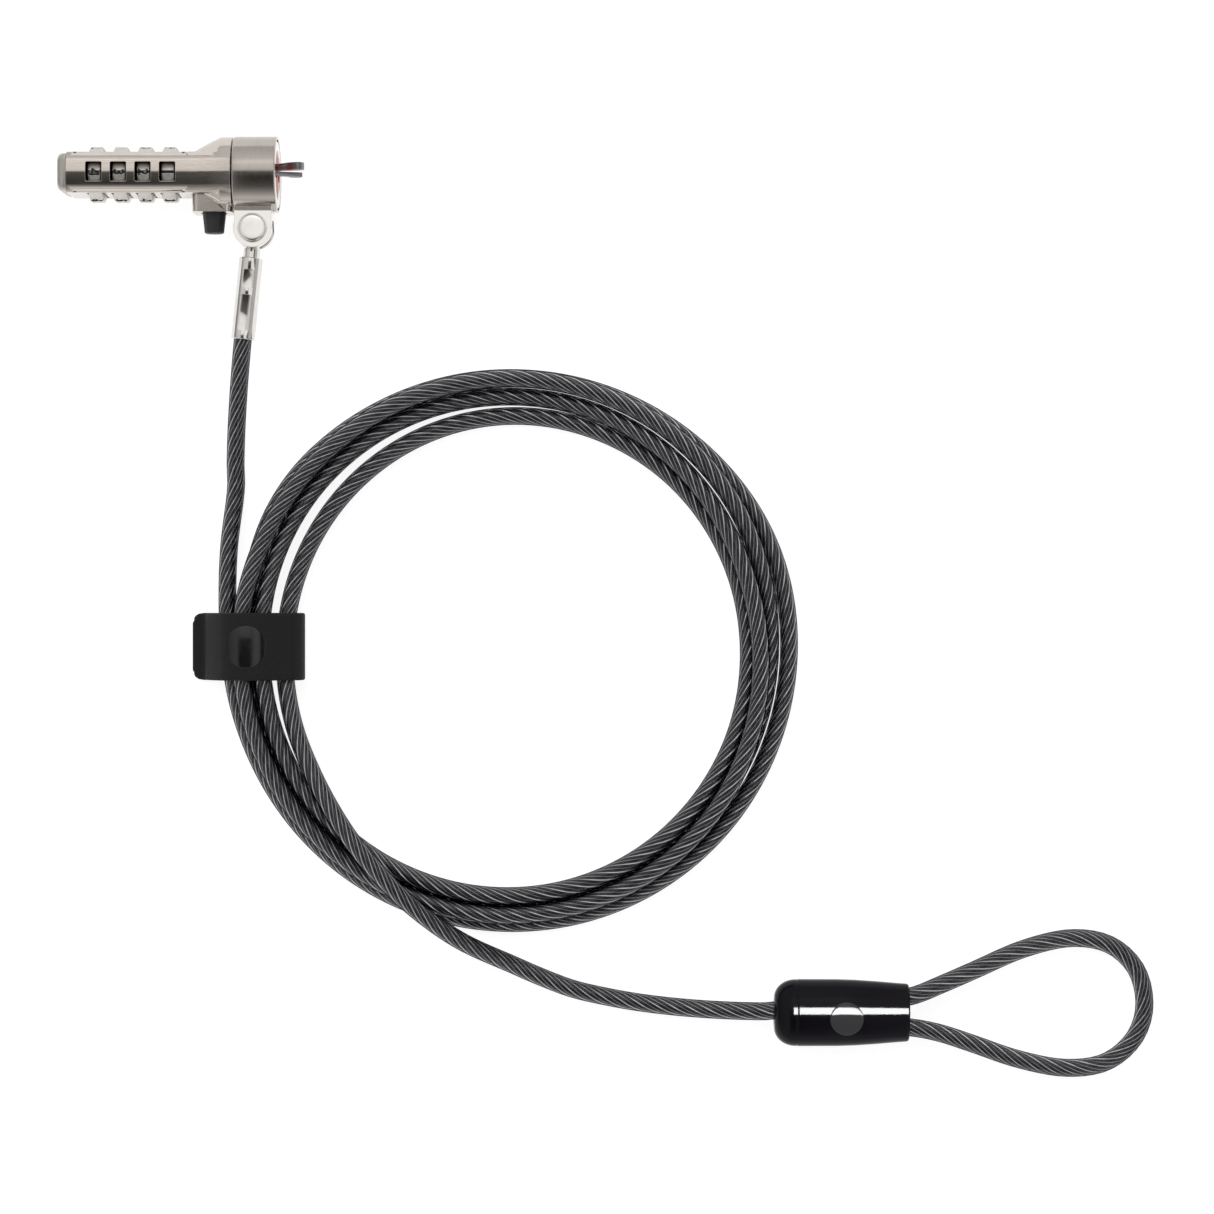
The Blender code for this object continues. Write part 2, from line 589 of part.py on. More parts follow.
def make_collar(mat, pin_mat):
    """Swivel collar with the forked lug, and the headed pivot pin through it."""
    drum = turned("collar", ((0.0, 0.0), (COLLAR_R - 0.35, 0.0), (COLLAR_R, -0.35),
                             (COLLAR_R, COLLAR_X[0] + 0.25), (COLLAR_R - 0.25, COLLAR_X[0]),
                             (0.0, COLLAR_X[0])), Matrix.Rotation(math.pi / 2, 4, "Y"),
                  steps=44)
    collar = part("collar", drum, mat, (0, 0, 0))
    web = box("lug_web", (-9.3, PIVOT[1], -EAR_HALF_Z), (-1.1, -3.0, EAR_HALF_Z))
    combine(collar, tool("lug_web", web), "UNION")
    ears = rod("lug_ears", (PIVOT[0], PIVOT[1], -EAR_HALF_Z + 0.02),
               (PIVOT[0], PIVOT[1], EAR_HALF_Z - 0.02), EAR_R, segments=36)
    combine(collar, tool("lug_ears", ears), "UNION")
    slot = rod("eye_slot", (PIVOT[0], PIVOT[1], -EYE_SLOT_HALF_Z),
               (PIVOT[0], PIVOT[1], EYE_SLOT_HALF_Z), EYE_SLOT_R, segments=32)
    combine(collar, tool("eye_slot", slot))
    gap = box("eye_gap", (-11.5, -17.5, -EYE_SLOT_HALF_Z + 0.01),
              (1.5, PIVOT[1] + 1.9, EYE_SLOT_HALF_Z - 0.01))
    combine(collar, tool("eye_gap", gap))
    bore = rod("collar_bore", (-11, 0, 0), (1, 0, 0), COLLAR_BORE_R, segments=40)
    combine(collar, tool("collar_bore", bore))
    rim = rod("collar_rim", (-RIM_DEPTH, 0, 0), (1, 0, 0), COLLAR_RIM_R, segments=44)
    combine(collar, tool("collar_rim", rim))
    hole = rod("pivot_hole", (PIVOT[0], PIVOT[1], -7), (PIVOT[0], PIVOT[1], 7), 1.62,
               segments=20)
    combine(collar, tool("pivot_hole", hole))
    pin = turned("pivot_pin", ((0.0, EAR_HALF_Z + 0.6), (2.4, EAR_HALF_Z + 0.6),
                               (2.75, EAR_HALF_Z + 0.35), (2.75, EAR_HALF_Z + 0.05),
                               (1.5, EAR_HALF_Z + 0.05), (1.5, -EAR_HALF_Z - 0.2),
                               (0.0, -EAR_HALF_Z - 0.2)),
                 Matrix.Translation((PIVOT[0] * MM, PIVOT[1] * MM, 0)), steps=20)
    part("pivot_pin", pin, pin_mat, (PIVOT[0], PIVOT[1], 0))


# ---- cable ------------------------------------------------------------------------
def make_link(eye_mat, ferrule_mat):
    """Eye that turns on the pivot pin, and the crimped ferrule that grips the cable."""
    eye = rod("cable_eye", (PIVOT[0], PIVOT[1], -EYE_HALF_Z), (PIVOT[0], PIVOT[1], EYE_HALF_Z),
              EYE_R, segments=32)
    eye = part("cable_eye", eye, eye_mat)
    neck = rod("eye_neck", link_point(1.0), link_point(6.5), NECK_LINK_R, segments=24)
    combine(eye, tool("eye_neck", neck), "UNION")
    stem = rod("eye_stem", link_point(4.4), link_point(11.8), 1.85, segments=20)
    combine(eye, tool("eye_stem", stem), "UNION")
    hole = rod("eye_hole", (PIVOT[0], PIVOT[1], -7), (PIVOT[0], PIVOT[1], 7), 1.7,
               segments=20)
    combine(eye, tool("eye_hole", hole))
    start, end = FERRULE
    length = end - start
    tilt = math.radians(LINK_TILT)
    down = Vector((-math.sin(tilt), -math.cos(tilt), 0))
    place = Matrix.Translation(Vector(link_point(start)) * MM) \
        @ (-down).to_track_quat("Z", "Y").to_matrix().to_4x4()
    tube = turned("ferrule", ((2.14, 0.0), (2.4, 0.0), (FERRULE_R, -0.3),
                              (FERRULE_R, -length + 0.35), (2.4, -length),
                              (2.14, -length), (2.14, 0.0)), place, steps=28)
    ferrule = part("ferrule", tube, ferrule_mat)
    for k, (low, high) in enumerate(((9.2, 13.4), (14.8, 22.8))):
        for sign in (-1.0, 1.0):
            middle = (low + high) / 2
            flat = box("flat", (-4, -(high - low) / 2, 2.38), (4, (high - low) / 2, 4.0))
            turn = Matrix.Rotation(-tilt, 4, "Z")
            if sign < 0:
                turn = turn @ Matrix.Rotation(math.pi, 4, "Y")
            spot = Vector(link_point(middle)) * MM
            flat.transform(Matrix.Translation(spot) @ turn)
            combine(ferrule, tool(f"crimp_flat_{k}_{int(sign)}", flat))


def make_cable(rope_mat, jacket_mat):
    """Steel rope and the clear jacket tube around it, coiled, ending in a loop."""
    path = cable_path()
    part("wire_rope", wire("wire_rope", path, ROPE_R), rope_mat)
    sleeve = list(path)
    sleeve[0] = path[0].lerp(path[1], 0.25)
    sleeve[-1] = path[-1].lerp(path[-2], 0.15)
    jacket = part("cable_jacket", wire("cable_jacket", sleeve, CABLE_R, caps=False),
                  jacket_mat)
    mod = jacket.modifiers.new("wall", "SOLIDIFY")
    mod.thickness = JACKET_WALL * MM
    mod.offset = -1.0
    return path


def make_sleeve(path, crimp_mat, sleeve_mat):
    """Crimp that clamps the loop's two legs, and the moulded sleeve over it."""
    crimp = part("loop_crimp", box("loop_crimp", (119.4, SLEEVE_Y - 6.0, SLEEVE_H - 2.95
                                                  + TABLE_Z),
                                   (133.4, SLEEVE_Y + 6.0, SLEEVE_H + 2.95 + TABLE_Z),
                                   2.3, along=0, segments=3), crimp_mat)
    place = Matrix.Translation((0, SLEEVE_Y * MM, (SLEEVE_H + TABLE_Z) * MM)) \
        @ Matrix.Diagonal((1.0, 1.0, 0.735, 1.0)) @ Matrix.Rotation(math.pi / 2, 4, "Y")
    start, end = SLEEVE_X
    shape = turned("sleeve_cover", ((0.0, end), (5.3, end), (5.95, end - 0.35),
                                    (6.25, end - 1.1), (7.1, end - 8.0),
                                    (7.45, end - 14.0), (7.45, start + 5.4),
                                    (7.2, start + 5.2), (7.1, start + 3.6),
                                    (6.4, start + 1.9), (5.2, start + 0.7),
                                    (3.6, start), (0.0, start)), place, steps=32)
    cover = part("sleeve_cover", shape, sleeve_mat)
    pocket = box("crimp_pocket", (119.1, SLEEVE_Y - 6.2, SLEEVE_H - 3.15 + TABLE_Z),
                 (133.7, SLEEVE_Y + 6.2, SLEEVE_H + 3.15 + TABLE_Z), 2.3, along=0, segments=3)
    combine(cover, tool("crimp_pocket", pocket))
    inside = [k for k, p in enumerate(path) if p.y < -180.0 and 105.0 < p.x < 150.0]
    out_leg = []
    for k in inside:
        if out_leg and k != out_leg[-1] + 1:
            break
        out_leg.append(k)
    back_leg = [k for k in inside if k > out_leg[-1]]
    main = wire("leg_main", [path[k] for k in out_leg], CABLE_R + 0.22)
    back = wire("leg_back", [path[k] for k in back_leg]
                + [path[back_leg[-1]] + Vector((-2.2, 0, 0))], CABLE_R + 0.22)
    main_tool = tool("leg_main", main)
    back_tool = tool("leg_back", back)
    for obj in (crimp, cover):
        combine(obj, main_tool)
        combine(obj, back_tool)


def set_down():
    """Move every piece and cutter so that the origin is under the middle of the lock."""
    shift = Vector(ORIGIN) * MM
    for obj in list(PARTS.objects) + list(TOOLS.objects):
        obj.location -= shift


def make_strap(mat):
    """Hook-and-loop strap: the layer under the coil and the flap folded over it."""
    middle = (STRAP_Y[0] + STRAP_Y[1]) / 2
    half = (STRAP_Y[1] - STRAP_Y[0]) / 2
    under = ((-18.6, 0.6), (-17.0, 0.6), (3.0, 0.6), (4.4, 0.95), (5.15, 1.75), (5.3, 2.6))
    strip("strap_base", under, (4.6, half, half, half, half, half), middle, STRAP_T, mat,
          (5.3, middle, 2.6 + TABLE_Z))
    over = ((5.3, 3.3), (5.2, 4.7), (4.4, 6.2), (2.4, 7.6), (-0.5, 9.1), (-3.4, 10.3),
            (-6.5, 10.75), (-9.4, 10.7), (-11.6, 9.8), (-13.2, 8.2), (-14.6, 6.3),
            (-15.6, 4.6), (-16.2, 3.0), (-17.0, 2.05), (-18.6, 1.85))
    halves = [half] * (len(over) - 2) + [half, 4.6]
    flap = strip("strap_flap", over, halves, middle, STRAP_T, mat,
                 (5.3, middle, 3.3 + TABLE_Z))
    knuckle = rod("fold_knuckle", (5.3, STRAP_Y[0], 3.3 + TABLE_Z),
                  (5.3, STRAP_Y[1], 3.3 + TABLE_Z), 0.575, segments=24)
    combine(flap, tool("fold_knuckle", knuckle), "UNION")


# ---- assembly ---------------------------------------------------------------------
clear_scene()
PARTS = collection("laptop_cable_lock")
TOOLS = collection("cutters")

nickel = material("satin_nickel", (0.52, 0.50, 0.47), 0.32, 1.0)
collar_metal = material("collar_nickel", (0.50, 0.48, 0.46), 0.3, 1.0)
cap_metal = material("cap_nickel", (0.50, 0.48, 0.46), 0.35, 1.0)
chrome = material("chrome", (0.78, 0.78, 0.80), 0.1, 1.0)
dark_steel = material("dark_steel", (0.16, 0.16, 0.17), 0.35, 1.0)
steel = material("steel", (0.62, 0.62, 0.63), 0.28, 1.0)
brass = material("brass", (0.72, 0.56, 0.28), 0.3, 1.0)
dial_metal = material("dial_metal", (0.55, 0.54, 0.53), 0.35, 1.0)
red_plastic = material("red_plastic", (0.52, 0.10, 0.09), 0.4)
black_plastic = material("black_plastic", (0.018, 0.018, 0.020), 0.45)
sleeve_plastic = material("sleeve_plastic", (0.010, 0.009, 0.012), 0.15)
jacket_plastic = material("jacket_plastic", (0.09, 0.09, 0.10), 0.12)
rope_steel = material("rope_steel", (0.35, 0.35, 0.37), 0.35, 1.0)
strap_fabric = material("strap_fabric", (0.025, 0.025, 0.028), 0.9)

make_body(nickel)
make_end_cap(cap_metal, steel, steel)
make_dials(dial_metal, brass)
make_core(steel, steel)
make_button(black_plastic, steel)
make_hooks(dark_steel, steel)
make_nose(chrome, red_plastic)
make_collar(collar_metal, steel)
make_link(chrome, chrome)
make_sleeve(make_cable(rope_steel, jacket_plastic), steel, sleeve_plastic)
make_strap(strap_fabric)
set_down()
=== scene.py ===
"""Looks for the laptop cable lock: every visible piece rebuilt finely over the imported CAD."""

import math

import bmesh
import bpy
import numpy as np
from mathutils import Matrix, Vector


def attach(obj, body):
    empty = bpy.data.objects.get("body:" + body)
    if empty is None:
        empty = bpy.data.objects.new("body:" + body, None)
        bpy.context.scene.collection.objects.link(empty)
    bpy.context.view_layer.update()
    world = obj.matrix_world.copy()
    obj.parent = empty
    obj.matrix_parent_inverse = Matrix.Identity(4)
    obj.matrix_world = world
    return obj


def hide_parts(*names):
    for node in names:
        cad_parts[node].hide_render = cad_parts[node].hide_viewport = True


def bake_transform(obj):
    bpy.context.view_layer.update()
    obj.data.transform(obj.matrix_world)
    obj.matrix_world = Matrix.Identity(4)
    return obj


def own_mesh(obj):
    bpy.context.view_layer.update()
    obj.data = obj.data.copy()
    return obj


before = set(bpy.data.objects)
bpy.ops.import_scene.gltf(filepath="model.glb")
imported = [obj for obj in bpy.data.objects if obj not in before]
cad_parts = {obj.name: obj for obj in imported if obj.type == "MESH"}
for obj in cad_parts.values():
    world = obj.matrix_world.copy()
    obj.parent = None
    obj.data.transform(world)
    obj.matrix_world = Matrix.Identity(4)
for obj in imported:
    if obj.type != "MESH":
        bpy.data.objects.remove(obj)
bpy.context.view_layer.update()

MM = 0.001
ORIGIN = Vector((73.345, -95.947, -8.5))   # nose face centre to bounding-box centre
SHIFT = Matrix.Translation(-ORIGIN * MM)
TABLE_Z = -8.5
PIVOT = (-5.3, -12.1)                 # lug pivot across the lock
DIAL_X = (-39.9, -34.5, -29.1, -23.7)
BUTTON_X = -14.1
HOOK_PIN_X = -4.6
HOOK_Y = 0.85                         # middle of the blade pair, off the lock's axis
HOOK_SPREAD = 11.0                    # degrees, each way at rest
LINK_TILT = 5.9                       # degrees between the ferrule's line and -Y
CABLE_R = 2.0
ROPE_R = 1.85
LAY = 24.5                            # length of one full twist of the rope
COIL = (51.9, -105.5)                 # centre of the coil
STRAP_Y = -104.5
STRAP_THICK = 1.1
SLEEVE_Y = -185.9
SLEEVE_H = 5.6                        # height of the sleeve's middle over the table
SLEEVE_R = 7.45
SLEEVE_FLAT = 0.735                   # thickness of the sleeve over its width
LEG_Y = (-182.75, -189.05)
HALF_VIEW = 9.705                     # degrees, half the camera's field of view


# ---- mesh helpers, in lock millimetres -----------------------------
def link(obj):
    """Put an object in the scene."""
    bpy.context.scene.collection.objects.link(obj)
    return obj


def mesh_from(name, bm):
    """Turn a bmesh into a mesh with outward faces."""
    bmesh.ops.recalc_face_normals(bm, faces=bm.faces)
    mesh = bpy.data.meshes.new(name)
    bm.to_mesh(mesh)
    bm.free()
    return mesh


def grid_mesh(name, points, caps=False):
    """A surface through rings of points, one ring after another along the first axis."""
    rows, cols = points.shape[:2]
    index = np.arange(rows * cols).reshape(rows, cols)
    nxt = np.roll(index, -1, axis=1)
    faces = np.stack([index[:-1], index[1:], nxt[1:], nxt[:-1]], axis=-1)
    faces = faces.reshape(-1, 4).tolist()
    if caps:
        faces.append(index[0].tolist())
        faces.append(index[-1][::-1].tolist())
    mesh = bpy.data.meshes.new(name)
    mesh.from_pydata((points.reshape(-1, 3) * MM).tolist(), [], faces)
    mesh.update()
    return mesh


def loft(name, rows):
    """A capped solid through rows of points, all with the same number of points."""
    bm = bmesh.new()
    bm.from_mesh(grid_mesh(name, np.array(rows), caps=True))
    return mesh_from(name, bm)


def bake(obj, place=None):
    """The evaluated mesh of an object, with the object removed."""
    bpy.context.view_layer.update()
    graph = bpy.context.evaluated_depsgraph_get()
    mesh = bpy.data.meshes.new_from_object(obj.evaluated_get(graph))
    bm = bmesh.new()
    bm.from_mesh(mesh)
    bmesh.ops.remove_doubles(bm, verts=bm.verts, dist=0.000002)
    bmesh.ops.recalc_face_normals(bm, faces=bm.faces)
    bm.to_mesh(mesh)
    bm.free()
    mesh.transform(obj.matrix_world if place is None else place)
    bpy.data.objects.remove(obj, do_unlink=True)
    return mesh


def box(low, high, chamfer=0.0, along=None, segments=2):
    """A box between two corners, edges along one axis rounded."""
    low = Vector(low) * MM
    high = Vector(high) * MM
    size = high - low
    bm = bmesh.new()
    bmesh.ops.create_cube(bm, size=1.0)
    bmesh.ops.scale(bm, vec=size, verts=bm.verts)
    bmesh.ops.translate(bm, vec=(low + high) / 2, verts=bm.verts)
    if chamfer:
        edges = list(bm.edges)
        if along is not None:
            edges = [e for e in edges
                     if abs((e.verts[0].co - e.verts[1].co)[along]) > 0.9 * size[along]]
        bmesh.ops.bevel(bm, geom=edges, offset=chamfer * MM, segments=segments,
                        profile=0.5, affect="EDGES")
    return mesh_from("box", bm)


def rod(start, end, radius, end_radius=None, segments=64, turn=0.0):
    """A capped cylinder or cone between two points."""
    start = Vector(start) * MM
    end = Vector(end) * MM
    far = radius if end_radius is None else end_radius
    axis = end - start
    bm = bmesh.new()
    bmesh.ops.create_cone(bm, cap_ends=True, segments=segments, radius1=radius * MM,
                          radius2=far * MM, depth=axis.length)
    rotate = axis.to_track_quat("Z", "Y").to_matrix().to_4x4()
    place = Matrix.Translation((start + end) / 2) @ rotate
    bmesh.ops.transform(bm, matrix=place @ Matrix.Rotation(turn, 4, "Z"), verts=bm.verts)
    return mesh_from("rod", bm)


def pivot_rod(half, radius, segments):
    """A rod on the lug pivot's axis, the same length above and below the lock's middle."""
    return rod((*PIVOT, -half), (*PIVOT, half), radius, segments=segments)


def turned(profile, place, steps=96):
    """A turned solid from (radius, height) points, top to bottom down the outer side."""
    rings = [[(r * math.cos(a), r * math.sin(a), h) for a in circle(steps)] for r, h in profile]
    mesh = grid_mesh("turned", np.array(rings))
    bm = bmesh.new()
    bm.from_mesh(mesh)
    bmesh.ops.remove_doubles(bm, verts=bm.verts, dist=0.000002)
    mesh = mesh_from("turned", bm)
    mesh.transform(place)
    return mesh


def circle(count):
    """Even angles once round, in radians."""
    return np.linspace(0, math.tau, count, endpoint=False)


def arc(cx, cy, radius, start, end, count):
    """Points on an arc, degrees."""
    return [(cx + radius * math.cos(math.radians(a)), cy + radius * math.sin(math.radians(a)))
            for a in np.linspace(start, end, count)]


def solid(mesh, ops, rounding=0.0, segments=2, angle=35.0):
    """Booleans applied one after another, then rounded edges."""
    obj = link(bpy.data.objects.new("work", mesh))
    used = []
    for kind, other in ops:
        cutter = link(bpy.data.objects.new("cutter", other))
        mod = obj.modifiers.new("cut", "BOOLEAN")
        mod.operation = kind
        mod.solver = "EXACT"
        mod.object = cutter
        used.append(cutter)
    if rounding:
        mod = obj.modifiers.new("edge", "BEVEL")
        mod.width = rounding * MM
        mod.segments = segments
        mod.limit_method = "ANGLE"
        mod.angle_limit = math.radians(angle)
    result = bake(obj)
    for cutter in used:
        bpy.data.objects.remove(cutter, do_unlink=True)
    return result


def piece(name, mesh, mat, body, nodes=(), sharp=38.0):
    """A finished piece: moved to the row frame, shaded, given its body, and with the CAD parts it
    replaces hidden.

    A piece with no body is left unattached; its maker bakes its transform."""
    mesh.name = name
    mesh.transform(SHIFT)
    mesh.materials.clear()
    mesh.materials.append(mat)
    mesh.shade_smooth()
    if sharp:
        mesh.set_sharp_from_angle(angle=math.radians(sharp))
    obj = link(bpy.data.objects.new(name, mesh))
    if body:
        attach(obj, body)
    if nodes:
        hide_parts(*nodes)
    return obj


ALONG_X = Matrix.Rotation(math.pi / 2, 4, "Y")
CUT = "DIFFERENCE"
JOIN = "UNION"
AT_PIVOT = Matrix.Translation((PIVOT[0] * MM, PIVOT[1] * MM, 0))


# ---- materials -----------------------------------------------------
class Nodes:
    """Short calls for building the shader of a material or of the sky."""

    def __init__(self, owner, shader="Principled BSDF"):
        owner.use_nodes = True
        self.mat = owner
        self.tree = owner.node_tree
        self.shader = self.tree.nodes[shader]

    def add(self, kind, **values):
        """A new node, with its inputs or settings given by name."""
        node = self.tree.nodes.new("ShaderNode" + kind)
        for key, value in values.items():
            if key in node.inputs:
                node.inputs[key].default_value = value
            else:
                setattr(node, key, value)
        return node

    def join(self, a, b):
        """Link an output to an input."""
        self.tree.links.new(a, b)

    def set(self, **values):
        """Give the shader's inputs a value or a link."""
        for key, value in values.items():
            socket = self.shader.inputs[key.replace("_", " ")]
            if isinstance(value, bpy.types.NodeSocket):
                self.join(value, socket)
            else:
                socket.default_value = value

    def coords(self, scale, kind="Object"):
        """Texture coordinates stretched along the axes."""
        coord = self.add("TexCoord")
        mapping = self.add("Mapping")
        mapping.inputs["Scale"].default_value = scale
        self.join(coord.outputs[kind], mapping.inputs["Vector"])
        return mapping.outputs["Vector"]

    def noise(self, scale, detail, stretch=(1, 1, 1), rough=0.55):
        """A noise texture's value."""
        node = self.add("TexNoise", Scale=scale, Detail=detail, Roughness=rough)
        self.join(self.coords(stretch), node.inputs["Vector"])
        return node.outputs["Fac"]

    def span(self, value, low, high, out_low, out_high):
        """Map a value from one range to another."""
        node = self.add("MapRange")
        for socket, number in zip(("From Min", "From Max", "To Min", "To Max"),
                                  (low, high, out_low, out_high)):
            node.inputs[socket].default_value = number
        self.join(value, node.inputs["Value"])
        return node.outputs["Result"]

    def mix(self, factor, a, b):
        """Blend two colours."""
        node = self.add("Mix", data_type="RGBA")
        for socket, item in (("Factor", factor), ("A", a), ("B", b)):
            which = [s for s in node.inputs if s.name == socket and s.enabled][0]
            if isinstance(item, bpy.types.NodeSocket):
                self.join(item, which)
            else:
                which.default_value = item if isinstance(item, float) else (*item, 1.0)
        return [s for s in node.outputs if s.enabled][0]

    def math(self, operation, a, b=0.0):
        """One sum of two values."""
        node = self.add("Math", operation=operation)
        for socket, item in zip(node.inputs, (a, b)):
            if isinstance(item, bpy.types.NodeSocket):
                self.join(item, socket)
            else:
                socket.default_value = item
        return node.outputs[0]

    def bump(self, height, strength, distance, normal=None):
        """A normal from a height."""
        node = self.add("Bump", Strength=strength, Distance=distance)
        self.join(height, node.inputs["Height"])
        if normal is not None:
            self.join(normal, node.inputs["Normal"])
        return node.outputs["Normal"]

    def rounded(self, radius):
        """Soft edges for the light to catch."""
        return self.add("Bevel", Radius=radius, samples=4).outputs["Normal"]

    def lean(self, normal, amount, mask=None):
        """Tip the shading normal a little towards +Y, as a slightly crowned face does."""
        shift = self.add("CombineXYZ", Y=amount)
        if mask is not None:
            self.join(self.math("MULTIPLY", mask, amount), shift.inputs["Y"])
        total = self.add("VectorMath", operation="ADD")
        self.join(normal, total.inputs[0])
        self.join(shift.outputs["Vector"], total.inputs[1])
        unit = self.add("VectorMath", operation="NORMALIZE")
        self.join(total.outputs["Vector"], unit.inputs[0])
        return unit.outputs["Vector"]

    def edge(self, normal):
        """1 on worn edges, 0 on flat faces."""
        geometry = self.add("NewGeometry")
        dot = self.add("VectorMath", operation="DOT_PRODUCT")
        self.join(normal, dot.inputs[0])
        self.join(geometry.outputs["Normal"], dot.inputs[1])
        return self.span(dot.outputs["Value"], 0.995, 0.9, 0.0, 1.0)

    def attribute(self, name):
        """A value stored on the mesh."""
        return self.add("Attribute", attribute_name=name).outputs["Fac"]


def material(name):
    """A new material's shader."""
    return Nodes(bpy.data.materials.new(name))


def brushed(name, colour, roughness, stretch, streak=0.3, edge=0.16, spot=0.05, grain=0.14,
            shine_below=None, painted_crevice_shade=0.0):
    """Satin plated metal: fine streaks, blotches, brighter worn edges, and painted shade darkening the
    crevices when dirt is given.

    Below the height shine_below along Y, in lock millimetres, it is polished, and its lighter colour
    there is partly a painted highlight."""
    n = material(name)
    n.set(Metallic=1.0)
    fine = n.noise(5200, 5.0, stretch, 0.7)
    wide = n.noise(160, 3.0)
    soft = n.rounded(edge * MM)
    dark = tuple(c * (1 - grain) for c in colour)
    light = tuple(min(1.0, c * (1 + grain * 0.6)) for c in colour)
    tone = n.mix(n.span(fine, 0.3, 0.7, 0.0, 1.0), dark, light)
    tone = n.mix(n.span(wide, 0.35, 0.7, 0.0, spot * 4), tone, tuple(c * 0.8 for c in colour))
    tone = n.mix(n.edge(soft), tone, (0.95, 0.93, 0.90))
    if painted_crevice_shade:
        # painted shade: ambient occlusion darkens the colour towards black in crevices, around the
        # windows and lumps
        shade = n.add("AmbientOcclusion", Distance=0.0012, samples=8)
        tone = n.mix(n.span(shade.outputs["AO"], 0.25, 0.8, painted_crevice_shade, 0.0), tone, (0.02, 0.02, 0.02))
    level = n.math("ADD", n.span(fine, 0.3, 0.7, roughness - 0.03, roughness + 0.04),
                   n.span(wide, 0.3, 0.7, -0.02, 0.03))
    normal = n.bump(fine, streak, 0.00002, soft)
    if shine_below is not None:
        place = n.add("SeparateXYZ")
        n.join(n.coords((1, 1, 1)), place.inputs["Vector"])
        limit = (shine_below - ORIGIN[1]) * MM
        mask = n.span(place.outputs["Y"], limit + 0.0001, limit - 0.0001, 0.0, 1.0)
        # lug below the height: polished, with a lighter colour that is partly a painted highlight
        tone = n.mix(mask, tone, (0.80, 0.785, 0.765))
        level = n.math("MULTIPLY", level, n.span(mask, 0.0, 1.0, 1.0, 0.6))
        normal = n.lean(normal, 0.11, mask)
    n.set(Base_Color=tone, Roughness=level, Normal=normal)
    return n.mat


def polished(name, colour, roughness=0.08, lean=0.0):
    """Chrome with faint swirl marks."""
    n = material(name)
    n.set(Metallic=1.0)
    haze = n.noise(420, 4.0)
    fine = n.noise(3200, 3.0)
    soft = n.rounded(0.14 * MM)
    tone = n.mix(n.span(haze, 0.35, 0.7, 0.0, 0.5), colour, tuple(c * 0.86 for c in colour))
    normal = n.bump(fine, 0.12, 0.00001, soft)
    n.set(Base_Color=tone, Roughness=n.span(haze, 0.3, 0.75, roughness * 0.7, roughness * 2.0),
          Normal=n.lean(normal, lean) if lean else normal)
    return n.mat


def moulded(name, colour, low, high, grain, strength, coat=0.0, shine=0.5):
    """Moulded plastic with a fine grain."""
    n = material(name)
    fine = n.noise(grain, 4.0)
    wide = n.noise(90, 3.0)
    light = tuple(c * 1.5 + 0.002 for c in colour)
    tone = n.mix(n.span(wide, 0.3, 0.75, 0.0, 1.0), colour, light)
    n.set(Base_Color=tone, Roughness=n.span(fine, 0.3, 0.7, low, high), Coat_Weight=coat,
          Coat_Roughness=0.05, Specular_IOR_Level=shine,
          Normal=n.bump(fine, strength, 0.00003, n.rounded(0.15 * MM)))
    return n.mat


def rope_steel():
    """Dark oiled strands with a painted highlight, a thin near-white line along each crown, and fine
    wires across.
    """
    n = material("rope_steel")
    n.set(Metallic=0.85)
    crown = n.attribute("crown")
    wires = n.attribute("wires")
    patch = n.noise(500, 3.0)
    hatch = n.math("SINE", n.math("MULTIPLY", wires, math.tau))
    base = n.mix(n.span(hatch, -0.6, 1.0, 0.0, 1.0), (0.032, 0.032, 0.037), (0.054, 0.054, 0.061))
    base = n.mix(n.span(patch, 0.35, 0.65, 0.0, 0.4), base, (0.036, 0.036, 0.041))
    # painted highlight: a thin near-white line painted along each strand's crown
    line = n.math("MULTIPLY", n.span(crown, 0.66, 0.96, 0.0, 1.0),
                  n.span(patch, 0.3, 0.6, 0.8, 1.0))
    base = n.mix(line, base, (0.97, 0.97, 0.98))
    n.set(Base_Color=base, Roughness=n.span(hatch, -1.0, 1.0, 0.5, 0.42),
          Normal=n.bump(hatch, 0.18, 0.00003))
    return n.mat


def clear_jacket():
    """Clear smoke vinyl: a tinted see-through wall with a wet-looking surface and painted shade at its
    edges.
    """
    n = material("jacket_vinyl")
    ripple = n.noise(260, 3.0)
    fine = n.noise(2400, 2.0)
    normal = n.bump(ripple, 0.25, 0.00012)
    see = n.add("BsdfTransparent")
    tint = n.mix(n.span(ripple, 0.3, 0.7, 0.0, 1.0), (0.88, 0.88, 0.90), (0.94, 0.94, 0.95))
    # painted shade: the see-through tint turns nearly black towards the jacket's silhouette, where a real
    # clear wall bends the view
    facing = n.add("LayerWeight", Blend=0.5)
    n.join(normal, facing.inputs["Normal"])
    painted_rim_shade = n.span(facing.outputs["Facing"], 0.42, 0.66, 0.0, 1.0)
    tint = n.mix(painted_rim_shade, tint, (0.07, 0.07, 0.08))
    n.join(tint, see.inputs["Color"])
    gloss = n.add("BsdfGlossy")
    gloss.inputs["Color"].default_value = (0.55, 0.55, 0.57, 1.0)
    n.join(n.span(fine, 0.3, 0.7, 0.06, 0.14), gloss.inputs["Roughness"])
    n.join(normal, gloss.inputs["Normal"])
    fresnel = n.add("Fresnel", IOR=1.45)
    n.join(normal, fresnel.inputs["Normal"])
    blend = n.add("MixShader")
    n.join(n.math("MINIMUM", fresnel.outputs["Fac"], 0.07), blend.inputs["Fac"])
    n.join(see.outputs["BSDF"], blend.inputs[1])
    n.join(gloss.outputs["BSDF"], blend.inputs[2])
    n.join(blend.outputs["Shader"], n.tree.nodes["Material Output"].inputs["Surface"])
    n.tree.nodes.remove(n.shader)
    return n.mat


